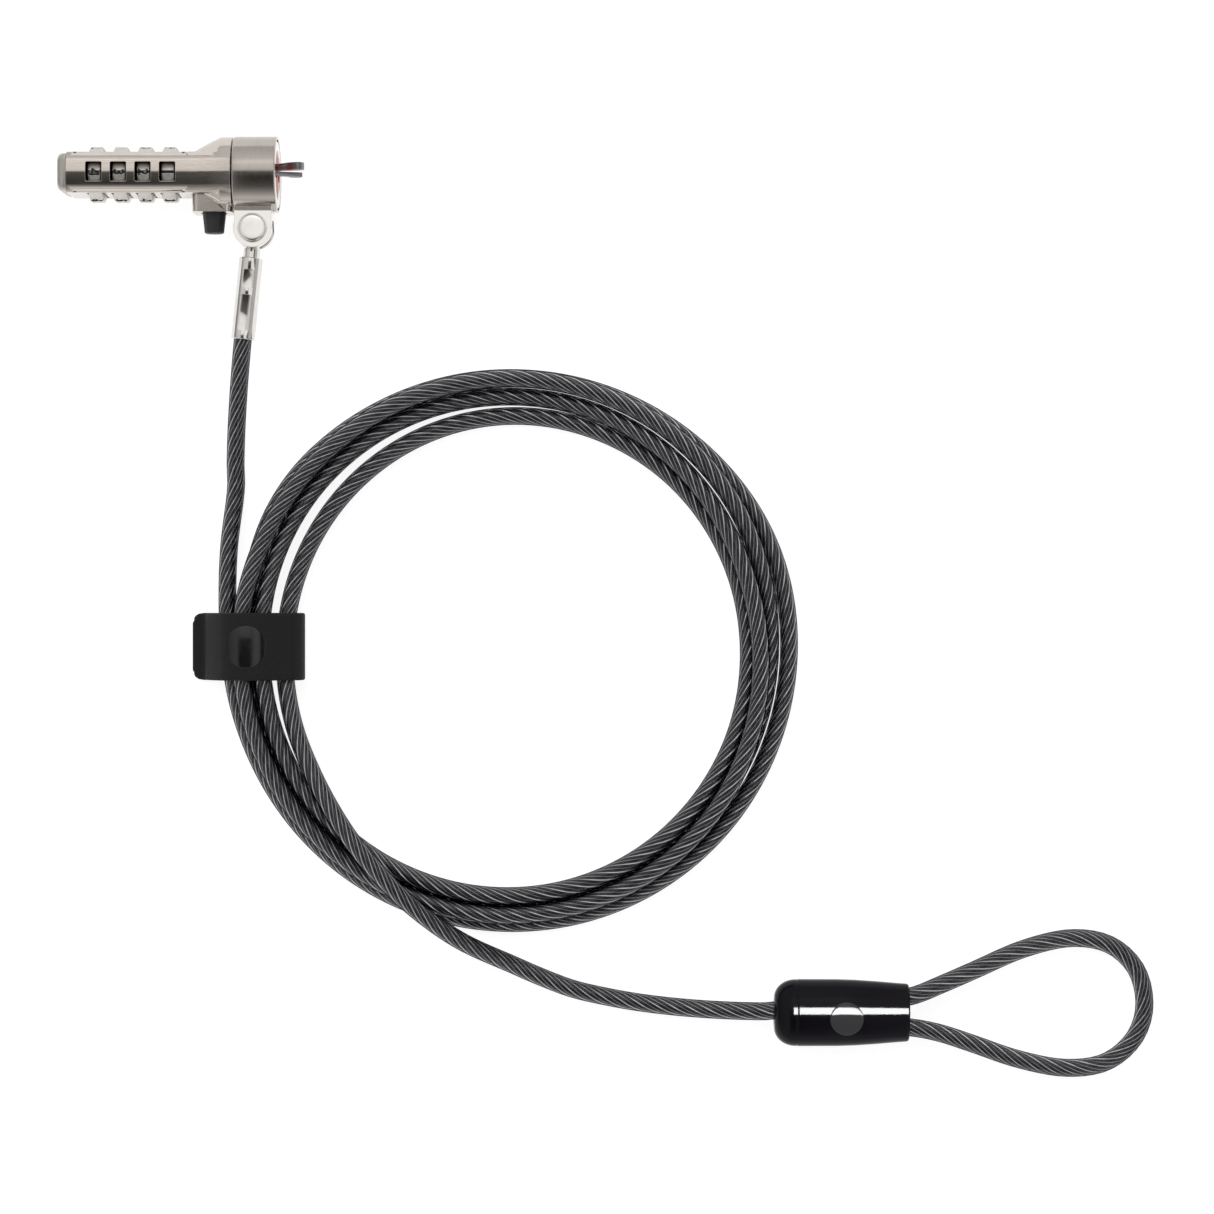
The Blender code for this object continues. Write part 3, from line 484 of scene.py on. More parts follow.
def webbing():
    """Black hook-and-loop webbing: a tight weave with a faint nap."""
    n = material("strap_webbing")
    coord = n.coords((1, 1, 1), "UV")
    bands = []
    for direction in "XY":
        wave = n.add("TexWave", Scale=1.0, Distortion=0.6, Detail=2.0, bands_direction=direction)
        wave.inputs["Detail Scale"].default_value = 4.0
        n.join(coord, wave.inputs["Vector"])
        bands.append(wave.outputs["Fac"])
    threads = n.math("MAXIMUM", *bands)
    nap = n.noise(2600, 4.0)
    tone = n.mix(n.span(threads, 0.2, 1.0, 0.0, 1.0), (0.006, 0.006, 0.006), (0.017, 0.017, 0.018))
    tone = n.mix(n.span(nap, 0.35, 0.75, 0.0, 0.5), tone, (0.020, 0.020, 0.021))
    height = n.math("ADD", threads, n.math("MULTIPLY", nap, 0.6))
    n.set(Base_Color=tone, Roughness=0.8, Sheen_Weight=0.06, Sheen_Roughness=0.4,
          Specular_IOR_Level=0.2, Normal=n.bump(height, 0.6, 0.00008))
    return n.mat


# ---- cable path, the same winding as the frame ---------------------
def coil_stations():
    """Radius and height of the settled coil at every ten degrees."""
    wound = (
        (150, 71.4, 3.0), (155, 68.0, 2.4), (164.4, 64.4, 2.3), (172, 62.9, 2.8),
        (180, 62.3, 3.35), (200, 61.5, 2.3), (225, 61.2, 2.05), (270, 60.5, 2.05),
        (360, 61.0, 2.05), (450, 60.6, 2.05), (485, 61.4, 2.05), (495, 62.4, 2.05),
        (505, 63.0, 2.05), (515, 62.0, 2.05), (527, 59.6, 2.6), (540, 58.2, 3.35),
        (585, 57.2, 2.05), (630, 56.4, 2.05), (720, 57.0, 2.05), (765, 60.3, 5.9),
        (810, 60.8, 6.2), (855, 60.6, 5.9), (900, 60.3, 6.9), (990, 58.6, 5.7),
        (1035, 58.0, 5.7), (1080, 55.0, 5.1), (1125, 55.6, 5.6), (1170, 56.8, 2.1),
        (1215, 57.8, 2.1), (1260, 56.1, 6.9), (1350, 54.7, 5.7), (1395, 54.0, 4.6),
        (1440, 52.3, 2.1), (1485, 53.0, 2.1), (1530, 52.8, 2.1), (1575, 51.5, 2.1),
        (1620, 50.15, 3.35), (1643, 51.06, 5.4), (1658, 52.3, 9.1), (1672, 54.6, 11.0),
        (1684, 57.7, 12.0), (1694, 62.0, 11.2), (1702.6, 66.4, 6.6), (1710, 70.0, 3.0),
    )
    table = np.array(wound, dtype=float)
    angle = np.arange(150.0, 1710.1, 10)
    radius_goal = np.interp(angle, table[:, 0], table[:, 1])
    height_goal = np.interp(angle, table[:, 0], table[:, 2])
    radius = radius_goal.copy()
    height = height_goal.copy()
    lift = 1.35 * np.exp(-(((angle % 360) - 180) / 15.0) ** 4)
    near_strap = (angle < 225) | ((angle > 480) & (angle < 530)) | (angle > 1640)
    hold = np.where(near_strap, 0.15, 0.05)
    for step in range(700):
        ease, pull = (0.15, hold) if step < 400 else (0.02, hold * 0.12)
        for values, goal in ((radius, radius_goal), (height, height_goal)):
            bend = values[:-2] + values[2:] - 2 * values[1:-1]
            values[1:-1] += ease * bend
            values += pull * (goal - values)
        for apart in range(1, 5):
            span = apart * 36
            dr = radius[span:] - radius[:-span]
            dh = height[span:] - height[:-span]
            near = np.hypot(dr, dh)
            push = np.where(near < 4.22, (4.22 - near) / near, 0.0) * 0.3
            radius[span:] += push * dr
            radius[:-span] -= push * dr
            height[span:] += push * dh
            height[:-span] -= push * dh
        np.maximum(height, 2.06 + lift, out=height)
    return angle, radius, height


def link_point(distance, side=0.0, height=0.0):
    """A point on the ferrule's line, measured from the lug pivot."""
    tilt = math.radians(LINK_TILT)
    return (PIVOT[0] - distance * math.sin(tilt) + side * math.cos(tilt),
            PIVOT[1] - distance * math.cos(tilt) - side * math.sin(tilt), height)


def catmull(points, cuts):
    """A smooth line through points."""
    pts = np.vstack([2 * points[0] - points[1], points, 2 * points[-1] - points[-2]])
    t = np.linspace(0, 1, cuts, endpoint=False)[:, None]
    out = []
    for i in range(1, len(pts) - 2):
        p0, p1, p2, p3 = pts[i - 1:i + 3]
        out.append(0.5 * (2 * p1 + (p2 - p0) * t + (2 * p0 - 5 * p1 + 4 * p2 - p3) * t ** 2
                          + (3 * p1 - p0 - 3 * p2 + p3) * t ** 3))
    out.append(points[-1][None])
    return np.vstack(out)


def cable_path():
    """Smooth centre line of the cable, as closely spaced points."""
    lead = [link_point(12.7), link_point(18.2), link_point(24.2), (-8.45, -43.2, -0.6),
            (-9.05, -49.8, -1.8), (-9.6, -57.0, -3.4), (-9.9, -64.0, -4.6)]
    angle, radius, height = coil_stations()
    turn = np.radians(angle)
    coil = np.stack([COIL[0] + radius * np.cos(turn), COIL[1] + radius * np.sin(turn),
                     height + TABLE_Z], axis=1)
    bends = np.array((
        (58.4, -178.4, 2.3), (65.3, -181.0, 2.1), (72.6, -182.7, 2.1),
        (80.0, -184.0, 2.2), (88.0, -184.9, 2.8), (96.0, -185.4, 4.0),
        (103.5, -185.6, 5.1), (109.5, -185.5, SLEEVE_H), (114.5, -184.2, SLEEVE_H),
        (119.0, LEG_Y[0], SLEEVE_H), (134.0, LEG_Y[0], SLEEVE_H),
        (140.5, -182.3, 5.5), (147.5, -179.6, 5.2), (154.5, -176.6, 4.9),
        (165.5, -171.9, 4.4), (176.2, -169.5, 3.9), (185.0, -171.0, 3.5),
        (191.0, -176.6, 3.2), (192.8, -184.7, 3.1), (190.4, -192.0, 3.2),
        (184.0, -197.2, 3.5), (175.0, -198.4, 3.9), (164.5, -196.4, 4.4),
        (154.3, -192.9, 4.9), (147.0, -190.5, 5.2), (140.3, -189.2, 5.5),
        (134.0, LEG_Y[1], SLEEVE_H), (120.5, LEG_Y[1], SLEEVE_H)))
    bends[:, 2] += TABLE_Z
    return catmull(np.vstack([np.array(lead), coil, bends]), 12)


def resample(path, spacing):
    """Points at an even spacing along a path, and the distance of each."""
    length = np.r_[0, np.cumsum(np.linalg.norm(np.diff(path, axis=0), axis=1))]
    along = np.linspace(0, length[-1], int(round(length[-1] / spacing)) + 1)
    points = np.stack([np.interp(along, length, path[:, k]) for k in range(3)], axis=1)
    return points, along


def frames(points):
    """Two side directions at every point that don't twist along the path."""
    tangent = np.gradient(points, axis=0)
    tangent /= np.linalg.norm(tangent, axis=1)[:, None]
    side = np.cross(tangent[0], (0.0, 0.0, 1.0))
    sides = []
    for t in tangent:
        side = side - t * (side @ t)
        side = side / np.linalg.norm(side)
        sides.append(side)
    sides = np.array(sides)
    return sides, np.cross(tangent, sides)


def tube(name, points, radius, count):
    """A capped round tube along a line of points."""
    side, up = frames(points)
    around = circle(count)[:, None]
    ring = side[:, None] * np.cos(around) + up[:, None] * np.sin(around)
    return grid_mesh(name, points[:, None] + ring * radius, caps=True)


def make_cable(path):
    """Six-strand rope under a clear jacket."""
    points, along = resample(path, 1.5)
    side, up = frames(points)
    per = 12
    delta = np.linspace(-30, 30, per, endpoint=False)
    pitch = 0.675 * ROPE_R
    strand = 0.338 * ROPE_R
    lobe = pitch * np.cos(np.radians(delta)) + np.sqrt(
        np.maximum(strand ** 2 - (pitch * np.sin(np.radians(delta))) ** 2, 0.0))
    wire = 1 - np.abs(np.abs(delta) - 15) / 15
    lobe = np.maximum(lobe, 0.90 * lobe.max()) + 0.07 * wire
    around = np.radians(np.concatenate([delta + 60 * k for k in range(6)]))
    lobe = np.tile(lobe, 6) * (ROPE_R / lobe.max())
    theta = around[None] + (math.tau * along / LAY)[:, None]
    ring = (side[:, None] * np.cos(theta)[..., None] + up[:, None] * np.sin(theta)[..., None])
    mesh = grid_mesh("rope_strands", points[:, None] + ring * lobe[None, :, None], caps=True)
    # crown marks where the painted highlight line runs along each strand
    crown = np.tile(wire * np.where(delta < 0, 1.0, 0.84), 6)[None].repeat(len(points), 0)
    wires = along[:, None] / 0.8 + np.tile(delta / 60 * 4.0, 6)[None]
    for name, values in (("crown", crown), ("wires", wires)):
        attribute = mesh.attributes.new(name, "FLOAT", "POINT")
        attribute.data.foreach_set("value", values.astype(np.float32).ravel())
    piece("rope_strands", mesh, MAT["rope"], "cable_assembly",
          ("wire_rope",), sharp=0)
    mesh = tube("jacket", resample(path, 2.0)[0], CABLE_R, 24)
    piece("jacket_tube", mesh, MAT["jacket"], "cable_assembly",
          ("cable_jacket",), sharp=60)


# ---- lock head -----------------------------------------------------
def make_body():
    """Satin die-cast body: crowned cage, flare, neck, boss and spigot."""
    crown = [(y, 7.4 - abs(y) ** 1.4 / 13.5) for y in np.linspace(-3.0, 3.0, 13)]
    section = crown + [(4.5, 5.7), (4.5, -5.9), (3.1, -7.4), (-3.1, -7.4), (-4.5, -5.9),
                       (-4.5, 5.7)]
    rings = [[(x, y, z + (rise if z > 0 else 0.0)) for y, z in section]
             for x, rise in ((-46.0, 0.0), (-19.0, 0.0), (-9.85, 0.7))]
    cage = loft("cage", rings)
    spigot = turned([(0.0, -2.05), (5.6, -2.05), (6.0, -2.45), (6.0, -11.0), (0.0, -11.0)],
                    ALONG_X)
    flare = turned([(0.0, -9.8), (8.1, -9.8)] + arc(8.15, -10.05, 0.25, 80, 0, 4)
                   + [(8.4, -12.2)]
                   + [(8.4 - 4.35 * t ** 1.12, -12.4 - 8.1 * t) for t in np.linspace(0.02, 1, 14)]
                   + [(0.0, -20.9)], Matrix.Diagonal((1.0, 1.0, 0.905, 1.0)) @ ALONG_X)
    boss = box((-18.6, -8.5, -4.4), (-9.9, -1.0, 4.4), 1.2, along=1, segments=4)
    ops = [(JOIN, flare), (JOIN, spigot), (JOIN, boss),
           (CUT, rod((-47, 0, 0), (-19.3, 0, 0), 3.25, segments=40)),
           (CUT, rod((-20, 0, 0), (-14.3, 0, 0), 1.85, segments=32))]
    for x in DIAL_X:
        ops.append((CUT, rod((x - 1.9, 0, 0), (x + 1.9, 0, 0), 6.45, segments=72)))
        ops.append((CUT, box((x - 1.78, -2.15, 4.0), (x + 1.78, 2.15, 8.5), 0.3, along=2,
                                      segments=3)))
    ops += [(CUT, box((-44.4, -1.25, -6.95), (-20.4, 1.25, -5.9))),
            (CUT, rod((BUTTON_X, -9.5, 0), (BUTTON_X, -5.95, 0), 2.9, segments=56)),
            (CUT, box((-16.35, -6.2, -1.9), (-11.9, 0.5, 1.9))),
            (CUT, box((-9.9, -0.6, -3.4), (-1.0, 2.25, 3.4))),
            (CUT, rod((HOOK_PIN_X, -2.7, 0), (HOOK_PIN_X, 2.7, 0), 0.8, segments=24))]
    for x in (-44.2, -20.3):
        for sign in (-1, 1):
            ops.append((CUT, rod((x, sign * 4.82, 5.87), (x, sign * 3.67, 7.87), 0.62,
                                          segments=32)))
    mesh = solid(cage, ops, 0.14, 2, 40)
    piece("body_casting", mesh, MAT["body"], "lock_body", ("main_body",))


def make_cap():
    """Rear cap with its softened shoulders, and the slotted screw in its seat."""
    rows = []
    for x, inset in ((-46.05, 0.0), (-46.5, 0.0), (-47.2, 0.12), (-47.7, 0.35), (-48.0, 0.75),
                     (-48.1, 1.3)):
        half_y, half_z, corner = 4.2 - inset, 7.2 - inset, 1.5
        ring = []
        for k, (cy, cz) in enumerate(((1, 1), (-1, 1), (-1, -1), (1, -1))):
            for a in np.linspace(90 * k, 90 * k + 90, 7):
                ring.append((x, cy * (half_y - corner) + corner * math.cos(math.radians(a)),
                             cz * (half_z - corner) + corner * math.sin(math.radians(a))))
        rows.append(ring)
    mesh = solid(loft("cap", rows), [(CUT, rod((-49, 0, 0), (-47.0, 0, 0), 2.45)),
                                     (CUT, rod((-48, 0, 0), (-45, 0, 0), 1.35))], 0.1)
    piece("rear_cap", mesh, MAT["cap"], "lock_body", ("end_cap",))
    place = Matrix.Translation((-46.85 * MM, 0, 0)) @ Matrix.Rotation(-math.pi / 2, 4, "Y")
    screw = turned([(0.0, 1.15), (1.75, 1.15)] + arc(1.85, 0.8, 0.35, 90, 0, 6)
                   + [(2.2, 0.35), (1.15, 0.35), (1.15, -1.0), (0.0, -1.0)], place, 64)
    screw = solid(screw, [(CUT, box((-48.6, -0.3, -2.6), (-47.4, 0.3, 2.6)))], 0.06)
    piece("code_screw", screw, MAT["steel"], "reset", ("reset_screw",))


def digit_mesh(text, size, depth):
    """A bold numeral as a closed solid, centred, facing +Z."""
    if text == "4":
        half = depth / 2
        stem = box((0.14, -0.5, -half / size), (0.33, 0.5, half / size))
        bar = box((-0.34, -0.27, -half / size), (0.36, -0.10, half / size))
        slope = box((-0.41, -0.085, -half / size), (0.41, 0.085, half / size))
        slope.transform(Matrix.Translation((-0.06 * MM, 0.13 * MM, 0))
                        @ Matrix.Rotation(math.radians(54), 4, "Z"))
        mesh = solid(stem, [(JOIN, bar), (JOIN, slope)])
        mesh.transform(Matrix.Diagonal((size, size, size, 1.0)))
        return mesh
    curve = bpy.data.curves.new("digit", "FONT")
    curve.body = text
    curve.size = 10.0
    curve.align_x = "CENTER"
    curve.align_y = "CENTER"
    curve.offset = 0.22
    curve.extrude = 0.5
    curve.resolution_u = 3
    mesh = bake(link(bpy.data.objects.new("digit", curve)))
    co = np.array([v.co for v in mesh.vertices])
    middle = (co.min(0) + co.max(0)) / 2
    span = co.max(0) - co.min(0)
    factor = size / span[1]
    mesh.transform(Matrix.Diagonal((factor * MM, factor * MM, depth * MM / span[2], 1.0))
                   @ Matrix.Translation(-Vector(middle)))
    return mesh


def make_dials():
    """Ten-sided wheels with grooved corners and engraved black numerals."""
    corner = 18.0
    profile = []
    for k in range(10):
        a = corner + 36 * k
        for shift, radius in ((-9.2, 6.02), (-6.0, 6.13), (-3.2, 6.16), (-1.9, 5.86), (0.0, 5.72),
                              (1.9, 5.86), (3.2, 6.16), (6.0, 6.13), (9.2, 6.02), (18.0, 5.98)):
            turn = math.radians(a + shift)
            profile.append((radius * math.cos(turn), radius * math.sin(turn)))
    profile = np.array(profile)
    rows = []
    for x, scale in ((-1.75, 0.84), (-1.68, 0.88), (-1.55, 0.94), (-1.38, 0.99), (-1.25, 1.0),
                     (1.25, 1.0), (1.38, 0.99), (1.55, 0.94), (1.68, 0.88), (1.75, 0.84)):
        rows.append([(x, y * scale, z * scale) for y, z in profile])
    wheel = loft("wheel", rows)
    ops = [(CUT, rod((-3, 0, 0), (3, 0, 0), 3.32, segments=40)),
           (CUT, box((-3, -0.75, -3.85), (3, 0.75, -1.0)))]
    inlays = []
    for k in range(10):
        spin = Matrix.Rotation(math.radians(36.0 * k), 4, "X")
        face = Matrix.Translation((0.0, 0.0, 5.98 * MM)) @ Matrix.Rotation(-math.pi / 2, 4, "Z")
        cut = digit_mesh(str(k), 2.35, 0.7)
        cut.transform(spin @ face)
        ops.append((CUT, cut))
        fill = digit_mesh(str(k), 2.34, 0.16)
        fill.transform(spin @ Matrix.Translation((0, 0, -0.2 * MM)) @ face)
        inlays.append(fill)
    wheel = solid(wheel, ops)
    bm = bmesh.new()
    for fill in inlays:
        bm.from_mesh(fill)
    ink = mesh_from("ink", bm)
    for i, (x, shown) in enumerate(zip(DIAL_X, (4, 3, 2, 1))):
        place = Matrix.Translation((x * MM, 0, 0)) \
            @ Matrix.Rotation(math.radians(-36.0 * shown), 4, "X")
        body = f"dial_{i + 1}"
        part = wheel.copy()
        part.transform(place)
        piece(f"number_wheel_{i + 1}", part, MAT["dial"], body,
              (f"dial_wheel_{i + 1}",), 30)
        fill = ink.copy()
        fill.transform(place)
        piece(f"numerals_{i + 1}", fill, MAT["ink"], body, (), 30)


def make_button():
    """Tapered black push button with soft shoulders and shallow flutes."""
    profile = [(0.0, -8.3), (2.5, -8.3), (2.6, -8.4), (2.58, -8.8), (2.2, -12.2)] \
        + arc(1.7, -12.5, 0.5, 0, -90, 7) + [(1.0, -13.05), (0.0, -13.08)]
    place = Matrix.Translation((BUTTON_X * MM, 0, 0)) @ Matrix.Rotation(-math.pi / 2, 4, "X")
    cap = turned(profile, place)
    for vert in cap.vertices:
        x, z = vert.co.x / MM - BUTTON_X, vert.co.z / MM
        if vert.co.y < -8.7 * MM:
            dip = 1.0 - 0.035 * max(0.0, math.cos(10 * math.atan2(z, x))) ** 2
            vert.co.x = (BUTTON_X + x * dip) * MM
            vert.co.z = z * dip * MM
    outline = ((-15.95, -9.0), (-12.25, -9.0), (-12.25, -2.25), (-14.85, -2.25), (-15.95, -4.45))
    rows = [[(x, y, z) for x, y in outline] for z in (-1.6, 1.6)]
    piece("push_button", solid(cap, [(JOIN, loft("stem", rows))]), MAT["black"], "button",
          ("button",))


def make_springs():
    """Coil springs of the button and the spindle, fixed to the lock body."""
    for name, node, joint, start, end, radius, turns, thick, keep in (
            ("button_coil", "button_spring", "button_press", (-13.3, -2.0, 0), (-13.3, 3.3, 0),
             0.85, 5.0, 0.2, 0.64),
            ("spindle_coil", "spindle_spring", "spindle_slide", (-43.3, 0, 0), (-45.75, 0, 0),
             2.2, 3.0, 0.26, 0.68)):
        start = np.array(start, float)
        end = np.array(end, float)
        axis = (end - start) / np.linalg.norm(end - start)
        other = np.cross(axis, (0.0, 0.0, 1.0))
        t = np.linspace(0, 1, int(turns * 36) + 1)
        swing = math.tau * turns * t
        line = start + (end - start) * t[:, None] + radius * (
            np.cos(swing)[:, None] * other + np.sin(swing)[:, None] * np.array((0, 0, 1.0)))
        mesh = tube(name, line, thick, 12)
        obj = piece(name, mesh, MAT["steel"], "lock_body", (node,), 60)
        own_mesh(obj)


def make_nose():
    """Bright flange ring with a rolled lip, and the soft red disc inside it."""
    ring = [(5.45, -0.35)] + arc(5.8, -0.35, 0.35, 180, 90, 6) + [(6.9, 0.0)] \
        + arc(7.05, -0.45, 0.45, 90, 0, 7) + [(7.5, -1.95), (5.45, -1.95), (5.45, -0.35)]
    piece("flange_ring", turned(ring, ALONG_X, 128), MAT["chrome"], "lock_body",
          ("nose_flange",), 50)
    disc = turned([(0.0, -0.4), (4.9, -0.4)] + arc(5.0, -0.7, 0.3, 90, 0, 5)
                  + [(5.3, -1.95), (0.0, -1.95)], ALONG_X, 96)
    slot = box((-3.0, -0.4, -2.7), (1.0, 2.1, 2.7), 0.35, along=0, segments=3)
    piece("red_disc", solid(disc, [(CUT, slot)], 0.08), MAT["red"], "lock_body",
          ("nose_disc",))


def make_hooks():
    """Dark hook blades side by side, flared at their barbs, with rounded edges."""
    outline = ((-4.3, -0.75), (-4.2, 0.2), (-3.9, 0.75), (0.0, 1.05), (3.2, 0.95), (6.6, 0.75),
               (7.4, 0.85), (8.2, 1.15), (9.3, 1.6), (9.9, 1.6), (10.3, 1.25), (10.55, 0.9),
               (10.75, 0.2), (10.72, -0.25), (10.5, -0.55), (7.2, -0.75), (3.2, -0.95),
               (0.0, -1.05))
    for name, body, sign in (("upper", "hook_up", 1.0), ("lower", "hook_down", -1.0)):
        spread = math.radians(HOOK_SPREAD) * sign
        flare, reach = (0.8, 1.0) if sign > 0 else (0.2, 0.8)
        rows = []
        for side in (0.0, 1.0):
            row = []
            for x, z in outline:
                out = 0.85 + min(1.0, max(0.0, (x - 6.3) / 1.0)) * flare
                y = HOOK_Y + sign * (0.04 + side * out)
                x = min(x, 7.2) + max(0.0, x - 7.2) * reach
                row.append((HOOK_PIN_X + x * math.cos(spread) - z * sign * math.sin(spread), y,
                            x * math.sin(spread) + z * sign * math.cos(spread)))
            rows.append(row)
        eye = rod((HOOK_PIN_X, -2, 0), (HOOK_PIN_X, 3, 0), 0.72, segments=32)
        mesh = solid(loft("blade", rows), [(CUT, eye)], 0.16, 3, 30)
        piece(f"hook_{name}", mesh, MAT["dark"], body, (f"hook_blade_{name}",))


def make_collar():
    """Brushed swivel collar with the polished forked lug, and the disc-headed pin."""
    drum = turned([(0.0, 0.0), (8.15, 0.0)] + arc(8.25, -0.25, 0.25, 90, 0, 6)
                  + [(8.5, -9.25)] + arc(8.25, -9.25, 0.25, 0, -90, 6) + [(0.0, -9.5)],
                  ALONG_X, 144)
    ops = [(JOIN, box((-9.3, PIVOT[1], -4.2), (-1.1, -3.0, 4.2))),
           (JOIN, pivot_rod(4.19, 4.25, 96)),
           (CUT, pivot_rod(1.95, 4.15, 80)),
           (CUT, box((-11.5, -17.5, -1.94), (1.5, PIVOT[1] + 1.9, 1.94))),
           (CUT, rod((-11, 0, 0), (1, 0, 0), 6.25, segments=96)),
           (CUT, rod((-2.3, 0, 0), (1, 0, 0), 7.85, segments=144)),
           (CUT, pivot_rod(7, 1.62, 48)),
           (CUT, turned([(3.02, 5.0), (3.2, 5.0), (3.2, 4.06), (3.02, 4.06), (3.02, 5.0)],
                                 AT_PIVOT))]
    mesh = solid(drum, ops, 0.12, 2, 40)
    piece("swivel_collar", mesh, MAT["collar"], "collar", ("collar",))
    top = 4.8
    head = [(0.0, top + 0.09), (0.9, top + 0.08), (1.7, top + 0.055), (2.2, top + 0.03)] \
        + arc(2.68, top - 0.25, 0.25, 80, 0, 6) + [(2.93, 4.25), (1.5, 4.25), (1.5, -4.4),
                                                  (0.0, -4.4)]
    mesh = turned(head, AT_PIVOT, 80)
    piece("pin_disc", mesh, MAT["pin"], "collar", ("pivot_pin",), 50)


def make_link():
    """Polished eye and neck, and the ferrule with its two crimp flats."""
    eye = pivot_rod(1.7, 3.85, 96)
    ops = [(JOIN, rod(link_point(1.0), link_point(6.5), 1.65, segments=48)),
           (JOIN, rod(link_point(4.4), link_point(11.8), 1.85, segments=48)),
           (CUT, pivot_rod(7, 1.7, 48))]
    piece("link_eye", solid(eye, ops, 0.18, 3, 35), MAT["chrome"], "cable_assembly",
          ("cable_eye",))
    start, end = 6.3, 24.5
    length = end - start
    tilt = math.radians(LINK_TILT)
    down = Vector((-math.sin(tilt), -math.cos(tilt), 0))
    place = Matrix.Translation(Vector(link_point(start)) * MM) \
        @ (-down).to_track_quat("Z", "Y").to_matrix().to_4x4()
    tube = turned([(2.14, -0.3), (2.2, 0.0)] + arc(2.3, -0.35, 0.35, 90, 0, 6)
                  + [(2.65, -length + 0.3)] + arc(2.35, -length + 0.3, 0.3, 0, -90, 6)
                  + [(2.2, -length), (2.14, -length + 0.2), (2.14, -0.3)], place, 96)
    ops = []
    for low, high in ((9.0, 13.1), (14.6, 22.6)):
        for sign in (-1, 1):
            flat = box((-1.25, -(high - low) / 2, 2.3), (1.25, (high - low) / 2, 4.0), 0.5,
                       along=2, segments=3)
            turn = Matrix.Rotation(-tilt, 4, "Z")
            if sign < 0:
                turn = turn @ Matrix.Rotation(math.pi, 4, "Y")
            flat.transform(Matrix.Translation(Vector(link_point((low + high) / 2)) * MM) @ turn)
            ops.append((CUT, flat))
    piece("crimped_ferrule", solid(tube, ops, 0.08), MAT["chrome"], "cable_assembly",
          ("ferrule",))


# ---- sleeve and strap ----------------------------------------------
def make_sleeve():
    """Glossy moulded sleeve: big domed end, faint shoulder line, flat end for the legs."""
    s, e = 110.0, 140.0
    profile = [(0.0, e - 0.25), (5.6, e - 0.25), (5.8, e)] + arc(5.85, e - 0.6, 0.6, 85, 0, 8) \
        + [(6.62, e - 3.0), (7.0, e - 7.5), (7.3, e - 12.0), (7.43, e - 16.0),
           (SLEEVE_R, s + 5.6), (SLEEVE_R, s + 5.3), (7.36, s + 5.15), (7.36, s + 5.0), (7.42, s + 4.8)] \
        + [(3.3 + 4.1 * math.sin(math.radians(a)), s + 4.7 - 4.7 * math.cos(math.radians(a)))
           for a in np.linspace(84, 6, 12)] \
        + [(3.2, s), (2.75, s + 0.1), (2.6, s + 0.5), (0.0, s + 0.6)]
    place = Matrix.Translation((0, SLEEVE_Y * MM, (SLEEVE_H + TABLE_Z) * MM)) \
        @ Matrix.Diagonal((1.0, 1.0, SLEEVE_FLAT, 1.0)) @ ALONG_X
    mesh = turned(profile, place, 128)
    ops = [(CUT, rod((132.0, y, SLEEVE_H + TABLE_Z), (141, y, SLEEVE_H + TABLE_Z),
                              2.35, segments=48))
           for y in LEG_Y]
    piece("moulded_sleeve", solid(mesh, ops), MAT["sleeve"], "cable_assembly",
          ("sleeve_cover",), 28)
    badge = []
    for r, lift in [(r, 0.0) for r in np.linspace(0.02, 3.4, 12)] + [(3.6, -0.02), (3.7, -0.12)]:
        ring = []
        for a in circle(72):
            x, y = 125.9 + r * math.cos(a), SLEEVE_Y - 0.9 + r * math.sin(a)
            reach = (y - SLEEVE_Y) / SLEEVE_R
            z = SLEEVE_H + TABLE_Z + SLEEVE_FLAT * SLEEVE_R * math.sqrt(1 - reach * reach)
            ring.append((x, y, z + 0.06 + lift))
        badge.append(ring)
    piece("sleeve_disc", grid_mesh("badge", np.array(badge)), MAT["badge"],
          "cable_assembly", (), 60)


def strap_mesh(path, halves):
    """A webbing band with rounded long edges, and its weave coordinates."""
    line = catmull(np.array(path, float), 8)
    width = np.interp(np.arange(len(line)) / 8.0, np.arange(len(halves)), halves)
    step = np.gradient(line, axis=0)
    step /= np.linalg.norm(step, axis=1)[:, None]
    normal = np.stack([-step[:, 1], step[:, 0]], axis=1)
    half = STRAP_THICK / 2
    flat = np.linspace(-1, 1, 17)
    rows = []
    for (x, h), n, w in zip(line, normal, width):
        ring = [(t * (w - 0.4), half) for t in flat]
        ring += [(w - 0.4 + 0.4 * math.cos(a), half * math.sin(a))
                 for a in np.linspace(math.pi / 2 - 0.5, -math.pi / 2 + 0.5, 5)]
        ring += [(t * (w - 0.4), -half) for t in flat[::-1]]
        ring += [(-(w - 0.4) - 0.4 * math.cos(a), half * math.sin(a))
                 for a in np.linspace(-math.pi / 2 + 0.5, math.pi / 2 - 0.5, 5)]
        rows.append([(x + n[0] * d, STRAP_Y + y, h + TABLE_Z + n[1] * d) for y, d in ring])
    points = np.array(rows)
    mesh = grid_mesh("band", points, caps=True)
    uv = mesh.uv_layers.new(name="UVMap")
    length = np.r_[0, np.cumsum(np.linalg.norm(np.diff(line, axis=0), axis=1))]
    flatuv = np.stack([np.repeat(length[:, None], points.shape[1], 1), points[..., 1]], axis=-1)
    flatuv = flatuv.reshape(-1, 2)
    order = np.empty(len(mesh.loops), dtype=np.int32)
    mesh.loops.foreach_get("vertex_index", order)
    uv.data.foreach_set("uv", flatuv[order].astype(np.float32).ravel())
    return mesh


